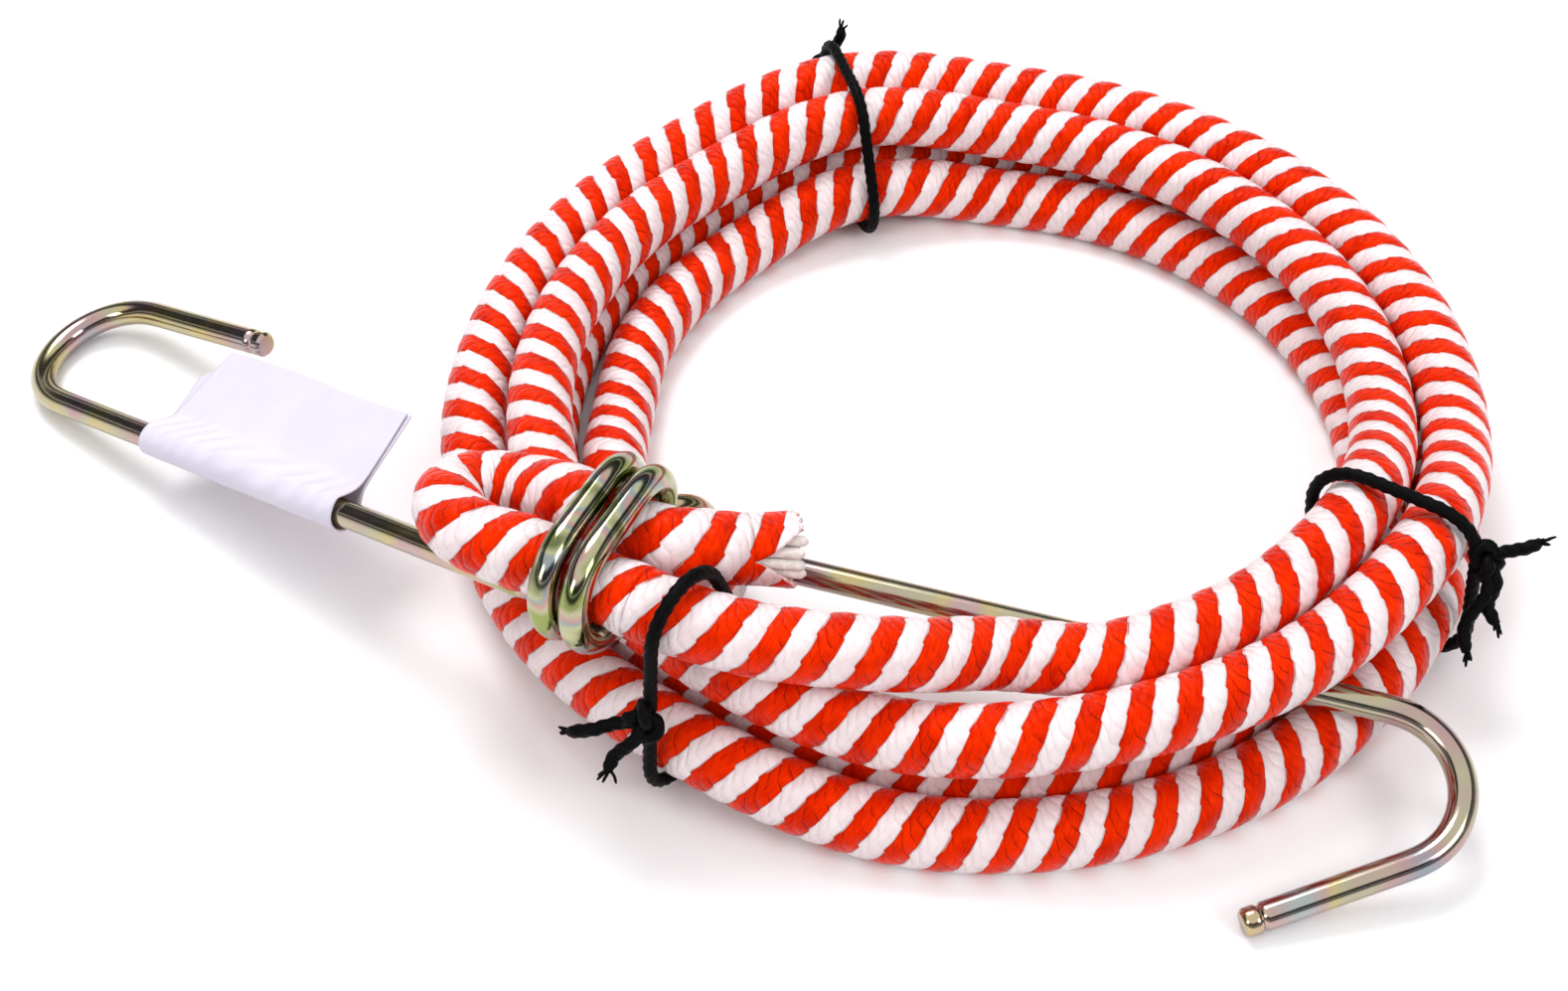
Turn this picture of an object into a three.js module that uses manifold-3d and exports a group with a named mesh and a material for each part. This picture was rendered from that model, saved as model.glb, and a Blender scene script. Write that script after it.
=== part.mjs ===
// A bungee cord: a fat elastic rope with a braided sheath, wound in a ring of two layers and tied in
// three places, with a bent wire hook wound onto each end. Millimetres, +Z up, the ring on the floor,
// +X to the right along the ring and +Y to its back. Angles on the ring run from +X towards +Y.
import * as THREE from 'three';
import { mergeVertices } from 'three/addons/utils/BufferGeometryUtils.js';
import Module from 'manifold-3d';

const wasm = await Module();
wasm.setup();

// Cord: rubber strands in a braided sheath.
const CORD_DIAMETER = 10;
const SHEATH_WALL = 1.5;
const SEAT_GAP = 0.3;
const COIL_SIDES = 6;
const END_SIDES = 8;
const LEFT_END_STEPS = 44;
const NECK_STEPS = 16;
const SHORT_NECK_STEPS = 6;

// Ring: the loops spiral out in the upper layer, then in again in the lower one.
const LOOP_STEPS = 24;
const RING_STEPS = 88;
const START_ANGLE = 289;
const INNER_RADIUS = 58.5;
const LOOP_GAP = 0.7;
const RIDE_GAP = 0.8;
const REVERSE_LOOP = 1.72;
const CLIMB_LOOPS = 0.5;
const FOOT_FLAT = 1;
const END_TURN = 12;
const END_RISE = 8;
const NECK_LEAD = 4;
const HUMP_ANGLE = 306;
const HUMP_SPREAD = 62;
const HUMP_SETTLE = 0.8;

// The left neck rides over the first loop: degrees past the front tie, and how far inside the crest,
// in cord diameters.
const NECK_OVER = [[7, -0.12], [16, 0.33], [24, 0.7]];

// Hooks: one wire each, a groove turned near its tip.
const WIRE_DIAMETER = 4;
const WIRE_SIDES = 8;
const BEND_RADIUS = 11;
const BEND_STEPS = 12;
const TIP_LAND = 2.4;
const TIP_GROOVE = 0.8;
const TIP_GROOVE_DEPTH = 0.35;
const TIP_CHAMFER = 0.7;
const TIP_STEP = 0.01;
const WIND_GAP = 0.7;
const WIND_STEPS = 16;

// Left end: the doubled cord lies on the ring, its cut tail to the right.
const LEFT_CLAMP_OUTSET = 3.9;
const LEFT_CLAMP_ANGLE = 229.6;
const LEFT_HEADING = 157;
const LEFT_TURNS = 2.25;
const LEFT_JOIN = 8.5;
const LEFT_GRIP = 7;
const LEFT_TURN_IN = 5;
const LEFT_TAIL = 19;
const LEFT_TAIL_SPREAD = 10.2;
const LEFT_TAIL_DROP = 4;
const LEFT_BIGHT = 19;
const LEFT_BOW = 1.3;
const LEFT_DROOP = 4;
const LEFT_SHANK = 99.5;
const LEFT_SHANK_HEADING = 152.3;
const LEFT_SHANK_FALL = 11.9;
const LEFT_HOOK_ROLL = -5;
const LEFT_FLARE = 3;
const LEFT_TIP_LEG = 26;

// Right end: the cord is waisted where its wire grips it, inside the ring.
const RIGHT_CLAMP_ANGLE = 221;
const RIGHT_CLAMP_RISE = 4.3;
const RIGHT_HEADING = -46;
const RIGHT_WAIST = 7.6;
const RIGHT_SHOULDER = 5;
const RIGHT_TURNS = 2;
const RIGHT_JOIN = 15;
const RIGHT_TAIL = 9;
const RIGHT_STUB = 7;
const RIGHT_TURN_IN = 2.5;
const RIGHT_SHANK = 94;
const RIGHT_SHANK_HEADING = -9;
const RIGHT_SHANK_FALL = 1.2;
const RIGHT_HOOK_ROLL = 19;
const RIGHT_FLARE = 34;
const RIGHT_TIP_LEG = 24;

// Ties: waxed twine round all the strands, which are lifted where it passes under them.
const TWINE_DIAMETER = 2;
const TWINE_SIDES = 6;
const BAND_STEP = 7;
const TIE_GAP = 0.6;
const BACK_TIE_ANGLE = 113;
const RIGHT_TIE_ANGLE = 335;
const FRONT_TIE_ANGLE = 242;
const LIFT_SPREAD = 28;
const KNOT_DIAMETER = 5;
const TWINE_TAIL = 12;
const TAIL_DROOP = 0.8;
const NECK_ASKEW = 0.5;

// Each tie's knot stands at a turn from level, and each tail at a turn from the tie's angle and a fall.
const BACK_TIE = { name: 'tie_back', angle: BACK_TIE_ANGLE, knotTurn: 12, tails: [[-90, -65], [75, 20]] };
const RIGHT_TIE = { name: 'tie_right', angle: RIGHT_TIE_ANGLE, knotTurn: 22, tails: [[40, -20], [-75, 30]] };
const FRONT_TIE = { name: 'tie_front', angle: FRONT_TIE_ANGLE, knotTurn: 4, tails: [[-62, 8], [-30, 20]] };

// Label: a paper strip folded over the left shank.
const LABEL_LENGTH = 42;
const LABEL_HEIGHT = 17;
const LABEL_THICKNESS = 0.8;
const LABEL_FROM_BEND = 23;
const LABEL_LEAN = 20;

const cordRadius = CORD_DIAMETER / 2;
const boreRadius = cordRadius - SHEATH_WALL;
const coreRadius = boreRadius - SEAT_GAP;
const wireRadius = WIRE_DIAMETER / 2;
const twineRadius = TWINE_DIAMETER / 2;
const windPitch = WIRE_DIAMETER + WIND_GAP;
const loopPitch = CORD_DIAMETER + LOOP_GAP;
const lowerHeight = cordRadius - FOOT_FLAT;
const upperHeight = lowerHeight + loopPitch;
const tieLift = TWINE_DIAMETER + TIE_GAP + FOOT_FLAT;
const gripRadius = RIGHT_WAIST / 2 + SEAT_GAP + wireRadius;
const rightHeight = lowerHeight + RIGHT_CLAMP_RISE;
const humpRise = rightHeight + gripRadius + wireRadius + cordRadius - upperHeight - HUMP_SETTLE;
const up = new THREE.Vector3(0, 0, 1);

const radians = (degrees) => THREE.MathUtils.degToRad(degrees);
const smooth = (x) => THREE.MathUtils.smoothstep(x, 0, 1);
const heading = (degrees) => new THREE.Vector3(Math.cos(radians(degrees)), Math.sin(radians(degrees)), 0);
const along = (origin, direction, length) => origin.clone().addScaledVector(direction, length);
function fallingWay(degrees, fall) {
  const way = heading(degrees).multiplyScalar(Math.cos(radians(fall)));
  way.z = -Math.sin(radians(fall));
  return way;
}

const material = (color, roughness, metalness) =>
  new THREE.MeshStandardMaterial({ color, roughness, metalness });
const sheathMaterial = material(0xe8391c, 0.7, 0);
const rubberMaterial = material(0xf1efe9, 0.6, 0);
const wireMaterial = material(0xb9ae84, 0.25, 1);
const twineMaterial = material(0x141416, 0.55, 0);
const paperMaterial = material(0xf2eff5, 0.65, 0);

// The direction of a route at each of its points.
function tangents(points) {
  return points.map((point, i) => {
    const before = points[Math.max(i - 1, 0)];
    const after = points[Math.min(i + 1, points.length - 1)];
    return after.clone().sub(before).normalize();
  });
}

// Cross axes carried along a route without twist, level at its start.
function crossAxes(points) {
  const forward = tangents(points);
  let side = new THREE.Vector3().crossVectors(up, forward[0]).normalize();
  return forward.map((direction, i) => {
    const turn = new THREE.Quaternion().setFromUnitVectors(forward[Math.max(i - 1, 0)], direction);
    side = side.clone().applyQuaternion(turn);
    side.addScaledVector(direction, -side.dot(direction)).normalize();
    return { side, rise: new THREE.Vector3().crossVectors(direction, side) };
  });
}

// Level cross axes, for a route that nowhere stands up.
function levelAxes(points) {
  return tangents(points).map((direction) => {
    const side = new THREE.Vector3().crossVectors(up, direction).normalize();
    return { side, rise: new THREE.Vector3().crossVectors(direction, side) };
  });
}

// A closed tube along a route. radii gives the outer radius at each point, and bores, if any, the
// radius of the hole through it. No point lies below the floor.
function tube(points, axes, sides, radii, bores = null) {
  const positions = [];
  const ring = (radiusAt) => points.forEach((centre, i) => {
    for (let k = 0; k < sides; k += 1) {
      const angle = (2 * Math.PI * k) / sides + (sides === 8 ? Math.PI / 8 : 0);
      const point = along(centre, axes[i].side, radiusAt(i) * Math.cos(angle));
      point.addScaledVector(axes[i].rise, radiusAt(i) * Math.sin(angle));
      positions.push(point.x, point.y, Math.max(point.z, 0));
    }
  });
  const count = points.length;
  const faces = [];
  const quad = (a, b, c, d) => faces.push(a, b, c, a, c, d);
  const wall = (offset, inward) => {
    for (let i = 0; i < count - 1; i += 1) {
      for (let k = 0; k < sides; k += 1) {
        const near = offset + i * sides;
        const next = (k + 1) % sides;
        const corners = [near + k, near + next, near + sides + next, near + sides + k];
        if (inward) corners.reverse();
        quad(...corners);
      }
    }
  };
  ring((i) => radii[i]);
  wall(0, false);
  const last = (count - 1) * sides;
  if (bores) {
    const inner = count * sides;
    ring((i) => bores[i]);
    wall(inner, true);
    for (let k = 0; k < sides; k += 1) {
      const next = (k + 1) % sides;
      quad(k, inner + k, inner + next, next);
      quad(last + k, last + next, inner + last + next, inner + last + k);
    }
  } else {
    for (let k = 1; k < sides - 1; k += 1) {
      faces.push(0, k + 1, k, last, last + k, last + k + 1);
    }
  }
  const geometry = new THREE.BufferGeometry();
  geometry.setAttribute('position', new THREE.Float32BufferAttribute(positions, 3));
  geometry.setIndex(faces);
  geometry.computeVertexNormals();
  return geometry;
}

const part = new THREE.Group();
function addMesh(name, geometry, finish) {
  const mesh = new THREE.Mesh(geometry, finish);
  mesh.name = name;
  part.add(mesh);
  return mesh;
}

// Sheath and rubber core of one stretch of the cord; squeeze narrows both where a wire grips them.
function addCord(name, points, axes, sides, squeeze = () => 0) {
  const radii = (radius) => points.map((point, i) => radius - squeeze(i));
  const sheath = tube(points, axes, sides, radii(cordRadius), radii(boreRadius));
  addMesh(`sheath_${name}`, sheath, sheathMaterial);
  addMesh(`rubber_core_${name}`, tube(points, axes, sides, radii(coreRadius)), rubberMaterial);
}

// Degrees from one ring angle to another, the short way round.
const between = (from, to) => ((((to - from) % 360) + 540) % 360) - 180;

// A smooth swell of the ring's height, one at its middle and nothing beyond its spread.
const swell = (angle, middle, spread) =>
  Math.cos(Math.min(Math.abs(between(middle, angle)) / spread, 1) * (Math.PI / 2)) ** 2;

// The ring's centre line at a number of loops from its upper end.
const loopCount = RING_STEPS / LOOP_STEPS;
const widestRadius = INNER_RADIUS + loopPitch * REVERSE_LOOP;
const ringAngle = (loop) => START_ANGLE + 360 * loop;
const ringRadius = (loop) => widestRadius - loopPitch * Math.abs(loop - REVERSE_LOOP);
const lift = (angle) => [BACK_TIE_ANGLE, RIGHT_TIE_ANGLE, FRONT_TIE_ANGLE]
  .reduce((sum, tie) => sum + tieLift * swell(angle, tie, LIFT_SPREAD), 0);
function ringPoint(loop) {
  const angle = ringAngle(loop);
  const climbed = smooth((loop - REVERSE_LOOP) / CLIMB_LOOPS + 0.5);
  const hump = humpRise * swell(angle, HUMP_ANGLE, HUMP_SPREAD);
  const point = heading(angle).multiplyScalar(ringRadius(loop));
  point.z = (upperHeight + hump) * (1 - climbed) + lowerHeight * climbed + lift(angle);
  return point;
}

// Every loop that crosses an angle of the ring, as a number of loops from its upper end.
function crossings(angle) {
  const first = (((angle - START_ANGLE) % 360) + 360) / 360 % 1;
  const found = [];
  for (let loop = first; loop <= loopCount; loop += 1) found.push(loop);
  return found;
}

const loops = Array.from({ length: RING_STEPS + 1 }, (_, i) => ringPoint(i / LOOP_STEPS));
const startWay = fallingWay(START_ANGLE - 90 - END_TURN, -END_RISE);
const endWay = heading(ringAngle(loopCount) + 90 + END_TURN);
const ringStart = along(loops[0], startWay, CORD_DIAMETER);
const ringEnd = along(loops.at(-1), endWay, CORD_DIAMETER);
const ring = [ringStart, ...loops, ringEnd];
addCord('coil', ring, levelAxes(ring), COIL_SIDES);

// The least gap between loops that lie beside or on each other.
function leastGap() {
  let least = Infinity;
  for (let a = 0; a < loopCount; a += 0.01) {
    for (let b = a + 0.5; b < loopCount; b += 0.01) {
      least = Math.min(least, ringPoint(a).distanceTo(ringPoint(b)));
    }
  }
  return least - CORD_DIAMETER;
}
console.log(`least gap between loops ${leastGap().toFixed(2)} mm`);

// A smooth route through a few points, in even steps.
const route = (points, steps) =>
  new THREE.CatmullRomCurve3(points, false, 'centripetal').getSpacedPoints(steps);

// Left end: near and far legs of the doubled cord, side by side through the wire.
const legOffset = cordRadius + SEAT_GAP;
const bowOut = legOffset + LEFT_BOW;
const windRadius = cordRadius + SEAT_GAP + wireRadius;
const leftClampRadius = ringRadius(crossings(LEFT_CLAMP_ANGLE)[0]) + LEFT_CLAMP_OUTSET;
const leftClamp = heading(LEFT_CLAMP_ANGLE).multiplyScalar(leftClampRadius);
leftClamp.z = upperHeight + lift(LEFT_CLAMP_ANGLE) + cordRadius + SEAT_GAP + wireRadius + windRadius;
const leftAxis = heading(LEFT_HEADING);
const leftNear = heading(LEFT_HEADING + 90);
const leftPoint = (a, b, c) => along(along(along(leftClamp, leftAxis, a), leftNear, b), up, c);
const leftEnd = route([
  leftPoint(-LEFT_JOIN, legOffset, 0),
  leftPoint(-LEFT_GRIP, legOffset, 0),
  leftPoint(0, legOffset, 0),
  leftPoint(LEFT_GRIP, legOffset, 0),
  leftPoint(LEFT_BIGHT, bowOut, 0),
  leftPoint(LEFT_BIGHT + bowOut, 0, -LEFT_DROOP / 2),
  leftPoint(LEFT_BIGHT, -bowOut, -LEFT_DROOP),
  leftPoint(LEFT_GRIP, -legOffset, 0),
  leftPoint(0, -legOffset, 0),
  leftPoint(-LEFT_GRIP, -legOffset, 0),
  leftPoint(-LEFT_TAIL, -legOffset - LEFT_TAIL_SPREAD, -LEFT_TAIL_DROP),
], LEFT_END_STEPS);
addCord('left_end', leftEnd, crossAxes(leftEnd), END_SIDES);

// A point of a strand that rides over the ring's first loop, inset from its crest.
function over(angle, inset) {
  const loop = crossings(angle)[0];
  const point = heading(angle).multiplyScalar(ringRadius(loop) - inset);
  point.z = ringPoint(loop).z + Math.sqrt((CORD_DIAMETER + RIDE_GAP) ** 2 - inset ** 2);
  return point;
}
const neckWay = leftEnd[0].clone().sub(leftEnd[1]).normalize();
const leftNeck = route([
  along(leftEnd[0], neckWay, SEAT_GAP),
  along(leftEnd[0], neckWay, NECK_LEAD),
  ...NECK_OVER.map(([past, inset]) => over(FRONT_TIE_ANGLE + past, inset * CORD_DIAMETER)),
  along(ringStart, startWay, NECK_LEAD),
  along(ringStart, startWay, SEAT_GAP),
], NECK_STEPS);
addCord('left_neck', leftNeck, crossAxes(leftNeck), END_SIDES);

// Right end: one strand, waisted under the wire.
const rightAxis = heading(RIGHT_HEADING);
const rightOuter = heading(RIGHT_HEADING - 90);
const rightSpan = windPitch * RIGHT_TURNS;
const rightClamp = heading(RIGHT_CLAMP_ANGLE).multiplyScalar(
  ringRadius(crossings(RIGHT_CLAMP_ANGLE)[2]) - cordRadius - gripRadius - wireRadius);
rightClamp.z = rightHeight;
const waistEnd = rightSpan / 2 + wireRadius;
const waistStart = waistEnd + RIGHT_SHOULDER;
const rightStations = [-RIGHT_JOIN, -waistStart, -waistEnd - RIGHT_SHOULDER / 2, -waistEnd, 0, waistEnd,
  RIGHT_TAIL];
const rightEnd = rightStations.map((a) => along(rightClamp, rightAxis, a));
const waistDepth = (CORD_DIAMETER - RIGHT_WAIST) / 2;
addCord('right_end', rightEnd, levelAxes(rightEnd), END_SIDES,
  (i) => waistDepth * smooth((waistStart - Math.abs(rightStations[i])) / RIGHT_SHOULDER));

const rightNeck = route([
  along(ringEnd, endWay, SEAT_GAP),
  along(ringEnd, endWay, NECK_LEAD),
  along(rightEnd[0], rightAxis, -NECK_LEAD),
  along(rightEnd[0], rightAxis, -SEAT_GAP),
], SHORT_NECK_STEPS);
addCord('right_neck', rightNeck, crossAxes(rightNeck), END_SIDES);

// The wire from a hook's tip to the clamp end of its shank.
function hookWire(clampEnd, outward, across, shank, flare, leg) {
  const bendStart = along(clampEnd, outward, shank);
  const centre = along(bendStart, across, BEND_RADIUS);
  const sweep = radians(180 - flare);
  const bend = Array.from({ length: BEND_STEPS + 1 }, (_, i) => {
    const angle = (sweep * i) / BEND_STEPS;
    const beyond = along(centre, outward, BEND_RADIUS * Math.sin(angle));
    return along(beyond, across, -BEND_RADIUS * Math.cos(angle));
  });
  const legWay = outward.clone().multiplyScalar(Math.cos(sweep)).addScaledVector(across, Math.sin(sweep));
  const tip = along(bend.at(-1), legWay, leg);
  const grooveEnd = TIP_LAND + TIP_GROOVE;
  const turned = [0, TIP_CHAMFER, TIP_LAND, TIP_LAND + TIP_STEP, grooveEnd, grooveEnd + TIP_STEP];
  return [...turned.map((back) => along(tip, legWay, -back)), ...bend.reverse(), clampEnd];
}
const tipRadii = [wireRadius - TIP_CHAMFER, wireRadius, wireRadius, wireRadius - TIP_GROOVE_DEPTH,
  wireRadius - TIP_GROOVE_DEPTH, wireRadius];
const wireRadii = (points) => points.map((point, i) => tipRadii[i] ?? wireRadius);
function addWire(name, points) {
  addMesh(name, tube(points, crossAxes(points), WIRE_SIDES, wireRadii(points)), wireMaterial);
}

// Left hook: its shank runs under the near leg and winds round both legs.
const leftWindStart = (windPitch * LEFT_TURNS) / 2;
const windLength = 4 * legOffset + 2 * Math.PI * windRadius;
function leftWinding(distance) {
  const a = leftWindStart - (windPitch * distance) / windLength;
  const half = 2 * legOffset + Math.PI * windRadius;
  const second = distance % windLength >= half;
  const run = distance % half;
  const flip = second ? -1 : 1;
  if (run < 2 * legOffset) return leftPoint(a, flip * (legOffset - run), -flip * windRadius);
  const angle = (run - 2 * legOffset) / windRadius;
  const outside = legOffset + windRadius * Math.sin(angle);
  return leftPoint(a, -flip * outside, -flip * windRadius * Math.cos(angle));
}
const windStep = (Math.PI * windRadius) / (WIND_STEPS / 2);
const leftTurns = [];
for (let d = LEFT_TURN_IN; d <= windLength * LEFT_TURNS; d += windStep) leftTurns.push(leftWinding(d));
const leftShankWay = fallingWay(LEFT_SHANK_HEADING, LEFT_SHANK_FALL);
const leftShankEnd = leftPoint(leftWindStart + LEFT_TURN_IN, legOffset, -windRadius);
const leftAcross = new THREE.Vector3().crossVectors(leftShankWay, up).normalize()
  .applyAxisAngle(leftShankWay, radians(LEFT_HOOK_ROLL));
const leftEase = LEFT_TURN_IN / 4;
const leftBend = leftPoint(leftWindStart + leftEase, legOffset - leftEase, -windRadius);
addWire('hook_left', [
  ...hookWire(leftShankEnd, leftShankWay, leftAcross, LEFT_SHANK, LEFT_FLARE, LEFT_TIP_LEG),
  leftBend,
  ...leftTurns,
]);

// Right hook: its shank leaves the top of the winding, and the cut end of its wire lies opposite.
const rightTop = (a) => along(along(rightClamp, rightAxis, a), up, gripRadius);
const rightTurns = [];
for (let i = 1; i <= RIGHT_TURNS * WIND_STEPS; i += 1) {
  const angle = (2 * Math.PI * i) / WIND_STEPS;
  const centre = along(rightClamp, rightAxis, rightSpan / 2 - (windPitch * i) / WIND_STEPS);
  const above = along(centre, up, gripRadius * Math.cos(angle));
  rightTurns.push(along(above, rightOuter, gripRadius * Math.sin(angle)));
}
const rightShankWay = fallingWay(RIGHT_SHANK_HEADING, RIGHT_SHANK_FALL);
const rightShankEnd = along(rightTop(rightSpan / 2), rightShankWay, RIGHT_TURN_IN);
const rightAcross = new THREE.Vector3().crossVectors(rightShankWay, up).normalize()
  .applyAxisAngle(rightShankWay, radians(RIGHT_HOOK_ROLL));
const stubEnd = along(rightTurns.at(-1), rightOuter, RIGHT_STUB);
addWire('hook_right', [
  ...hookWire(rightShankEnd, rightShankWay, rightAcross, RIGHT_SHANK, RIGHT_FLARE, RIGHT_TIP_LEG),
  rightTop(rightSpan / 2),
  ...rightTurns,
  stubEnd,
]);

// A solid of a closed mesh, to join or cut it.
function solid(geometry) {
  const bare = geometry.clone();
  bare.deleteAttribute('normal');
  if (bare.attributes.uv) bare.deleteAttribute('uv');
  const merged = mergeVertices(bare, 1e-4);
  return new wasm.Manifold(new wasm.Mesh({
    numProp: 3,
    vertProperties: new Float32Array(merged.attributes.position.array),
    triVerts: new Uint32Array(merged.index.array),
  }));
}
function geometryOf(body) {
  const mesh = body.getMesh();
  const geometry = new THREE.BufferGeometry();
  geometry.setAttribute('position', new THREE.Float32BufferAttribute(mesh.vertProperties, 3));
  geometry.setIndex(new THREE.Uint32BufferAttribute(mesh.triVerts, 1));
  geometry.computeVertexNormals();
  return geometry;
}

// The outline of a band drawn tight round circles, counter-clockwise, in short steps.
function tightBand(circles) {
  const points = circles.flatMap(({ x, y, radius }) => Array.from({ length: 16 }, (_, i) => {
    const angle = (Math.PI * i) / 8;
    return new THREE.Vector2(x + radius * Math.cos(angle), y + radius * Math.sin(angle));
  })).sort((p, q) => p.x - q.x || p.y - q.y);
  const half = (list) => list.reduce((chain, p) => {
    const left = (a, b) => b.clone().sub(a).cross(p.clone().sub(b)) > 1e-6;
    while (chain.length > 1 && !left(chain.at(-2), chain.at(-1))) chain.pop();
    return [...chain, p];
  }, []);
  const corners = [...half(points).slice(0, -1), ...half(points.reverse()).slice(0, -1)];
  return corners.flatMap((p, i) => {
    const next = corners[(i + 1) % corners.length];
    const parts = Math.ceil(p.distanceTo(next) / BAND_STEP);
    return Array.from({ length: parts }, (_, k) => p.clone().lerp(next, k / parts));
  });
}

// A tie: a loop of twine in an upright plane through the ring's axis, a knot on it and two tails.
function addTie({ name, angle, knotTurn, tails }, beside = []) {
  const radius = cordRadius + TIE_GAP + twineRadius;
  const strands = crossings(angle).map((loop) => ({ x: ringRadius(loop), y: ringPoint(loop).z, radius }));
  const band = tightBand([...strands, ...beside]);
  const place = ({ x, y }) => heading(angle).multiplyScalar(x).addScaledVector(up, y);
  const middle = band.reduce((sum, p) => sum.add(p), new THREE.Vector2()).divideScalar(band.length);
  const knotWay = new THREE.Vector2(Math.cos(radians(knotTurn)), Math.sin(radians(knotTurn)));
  const facing = (p) => p.clone().sub(middle).normalize().dot(knotWay);
  const knotAt = band.reduce((best, p) => (facing(p) > facing(best) ? p : best));
  const outward = knotAt.clone().sub(middle).normalize();
  const knot = place(knotAt.clone().addScaledVector(outward, KNOT_DIAMETER / 2 - twineRadius));
  const ball = new THREE.IcosahedronGeometry(KNOT_DIAMETER / 2, 1).translate(knot.x, knot.y, knot.z);
  const pieces = tails.map(([turn, fall]) => {
    const way = fallingWay(angle + turn, fall);
    const tip = along(along(knot, way, TWINE_TAIL), up, -TAIL_DROOP);
    const points = [knot, along(knot, way, TWINE_TAIL / 2), tip];
    return solid(tube(points, crossAxes(points), TWINE_SIDES, points.map(() => twineRadius)));
  });
  const body = loopSolid(band.map(place), heading(angle - 90)).add(solid(ball));
  addMesh(name, geometryOf(pieces.reduce((sum, piece) => sum.add(piece), body)), twineMaterial);
}

// A closed loop of twine through points of a plane whose normal is side, as a solid.
function loopSolid(points, side) {
  const positions = [];
  points.forEach((centre, i) => {
    const back = points[(i + points.length - 1) % points.length];
    const way = points[(i + 1) % points.length].clone().sub(back).normalize();
    const rise = new THREE.Vector3().crossVectors(way, side);
    for (let k = 0; k < TWINE_SIDES; k += 1) {
      const angle = (2 * Math.PI * k) / TWINE_SIDES;
      const point = along(centre, side, twineRadius * Math.cos(angle));
      point.addScaledVector(rise, twineRadius * Math.sin(angle));
      positions.push(point.x, point.y, point.z);
    }
  });
  const faces = [];
  points.forEach((centre, i) => {
    const near = i * TWINE_SIDES;
    const far = ((i + 1) % points.length) * TWINE_SIDES;
    for (let k = 0; k < TWINE_SIDES; k += 1) {
      const next = (k + 1) % TWINE_SIDES;
      faces.push(near + k, near + next, far + next, near + k, far + next, far + k);
    }
  });
  const geometry = new THREE.BufferGeometry();
  geometry.setAttribute('position', new THREE.Float32BufferAttribute(positions, 3));
  geometry.setIndex(faces);
  return solid(geometry);
}

// Where the left neck crosses an angle of the ring, wider than round because it crosses askew.
function neckCrossing(angle) {
  const off = (q) => between(angle, THREE.MathUtils.radToDeg(Math.atan2(q.y, q.x)));
  const next = leftNeck.findIndex((q) => off(q) > 0);
  const far = leftNeck[next];
  const near = leftNeck[next - 1];
  const spot = near.clone().lerp(far, off(near) / (off(near) - off(far)));
  const radius = cordRadius + TIE_GAP + twineRadius + NECK_ASKEW;
  return { x: Math.hypot(spot.x, spot.y), y: spot.z, radius };
}
addTie(BACK_TIE);
addTie(RIGHT_TIE);
addTie(FRONT_TIE, [neckCrossing(FRONT_TIE_ANGLE)]);

// Label: its fold goes round the shank and both leaves lie together as a flag.
const foldRadius = wireRadius + SEAT_GAP + LABEL_THICKNESS;
const flagAngle = Math.asin(LABEL_THICKNESS / foldRadius);
const paper = new THREE.Shape();
paper.absarc(0, 0, foldRadius, flagAngle, 2 * Math.PI - flagAngle, false);
paper.lineTo(foldRadius + LABEL_HEIGHT, -LABEL_THICKNESS);
paper.lineTo(foldRadius + LABEL_HEIGHT, LABEL_THICKNESS);
paper.closePath();
const hole = new THREE.Path();
hole.absarc(0, 0, foldRadius - LABEL_THICKNESS, 0, 2 * Math.PI, true);
paper.holes.push(hole);
const strip = new THREE.ExtrudeGeometry(paper,
  { depth: LABEL_LENGTH, bevelEnabled: false, curveSegments: 16 });
const flagWay = new THREE.Vector3().crossVectors(leftShankWay, up).normalize()
  .applyAxisAngle(leftShankWay, -radians(LABEL_LEAN));
const labelStart = along(leftShankEnd, leftShankWay, LEFT_SHANK - LABEL_FROM_BEND - LABEL_LENGTH);
const labelSide = new THREE.Vector3().crossVectors(leftShankWay, flagWay);
strip.applyMatrix4(new THREE.Matrix4().makeBasis(flagWay, labelSide, leftShankWay).setPosition(labelStart));
strip.deleteAttribute('uv');
const sheet = mergeVertices(strip.deleteAttribute('normal'), 1e-4);
sheet.computeVertexNormals();
addMesh('label', sheet, paperMaterial);

// The model's origin is the middle of its footprint, on the floor.
const box = new THREE.Box3().setFromObject(part);
const shift = new THREE.Vector3(-(box.min.x + box.max.x) / 2, -(box.min.y + box.max.y) / 2, -box.min.z);
part.children.forEach((mesh) => mesh.geometry.translate(shift.x, shift.y, shift.z));

export default part;
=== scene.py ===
"""A coiled bungee cord with a wire hook wound onto each end, tied with twine, in metres."""
import math

import bpy
import numpy as np
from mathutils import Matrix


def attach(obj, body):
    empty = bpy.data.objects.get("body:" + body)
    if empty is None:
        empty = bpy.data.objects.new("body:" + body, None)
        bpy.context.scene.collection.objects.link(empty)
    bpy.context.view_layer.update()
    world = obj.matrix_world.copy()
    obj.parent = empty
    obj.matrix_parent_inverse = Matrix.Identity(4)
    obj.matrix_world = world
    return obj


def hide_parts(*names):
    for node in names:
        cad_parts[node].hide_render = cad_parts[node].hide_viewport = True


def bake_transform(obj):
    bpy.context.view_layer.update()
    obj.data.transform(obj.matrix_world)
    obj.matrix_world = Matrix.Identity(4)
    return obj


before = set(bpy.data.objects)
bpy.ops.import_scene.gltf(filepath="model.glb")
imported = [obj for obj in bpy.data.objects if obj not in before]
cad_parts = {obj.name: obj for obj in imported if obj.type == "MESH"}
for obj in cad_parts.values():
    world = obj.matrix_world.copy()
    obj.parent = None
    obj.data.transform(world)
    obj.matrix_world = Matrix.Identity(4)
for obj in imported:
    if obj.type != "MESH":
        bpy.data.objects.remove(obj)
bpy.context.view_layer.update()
bpy.ops.object.select_all(action="DESELECT")

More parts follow.
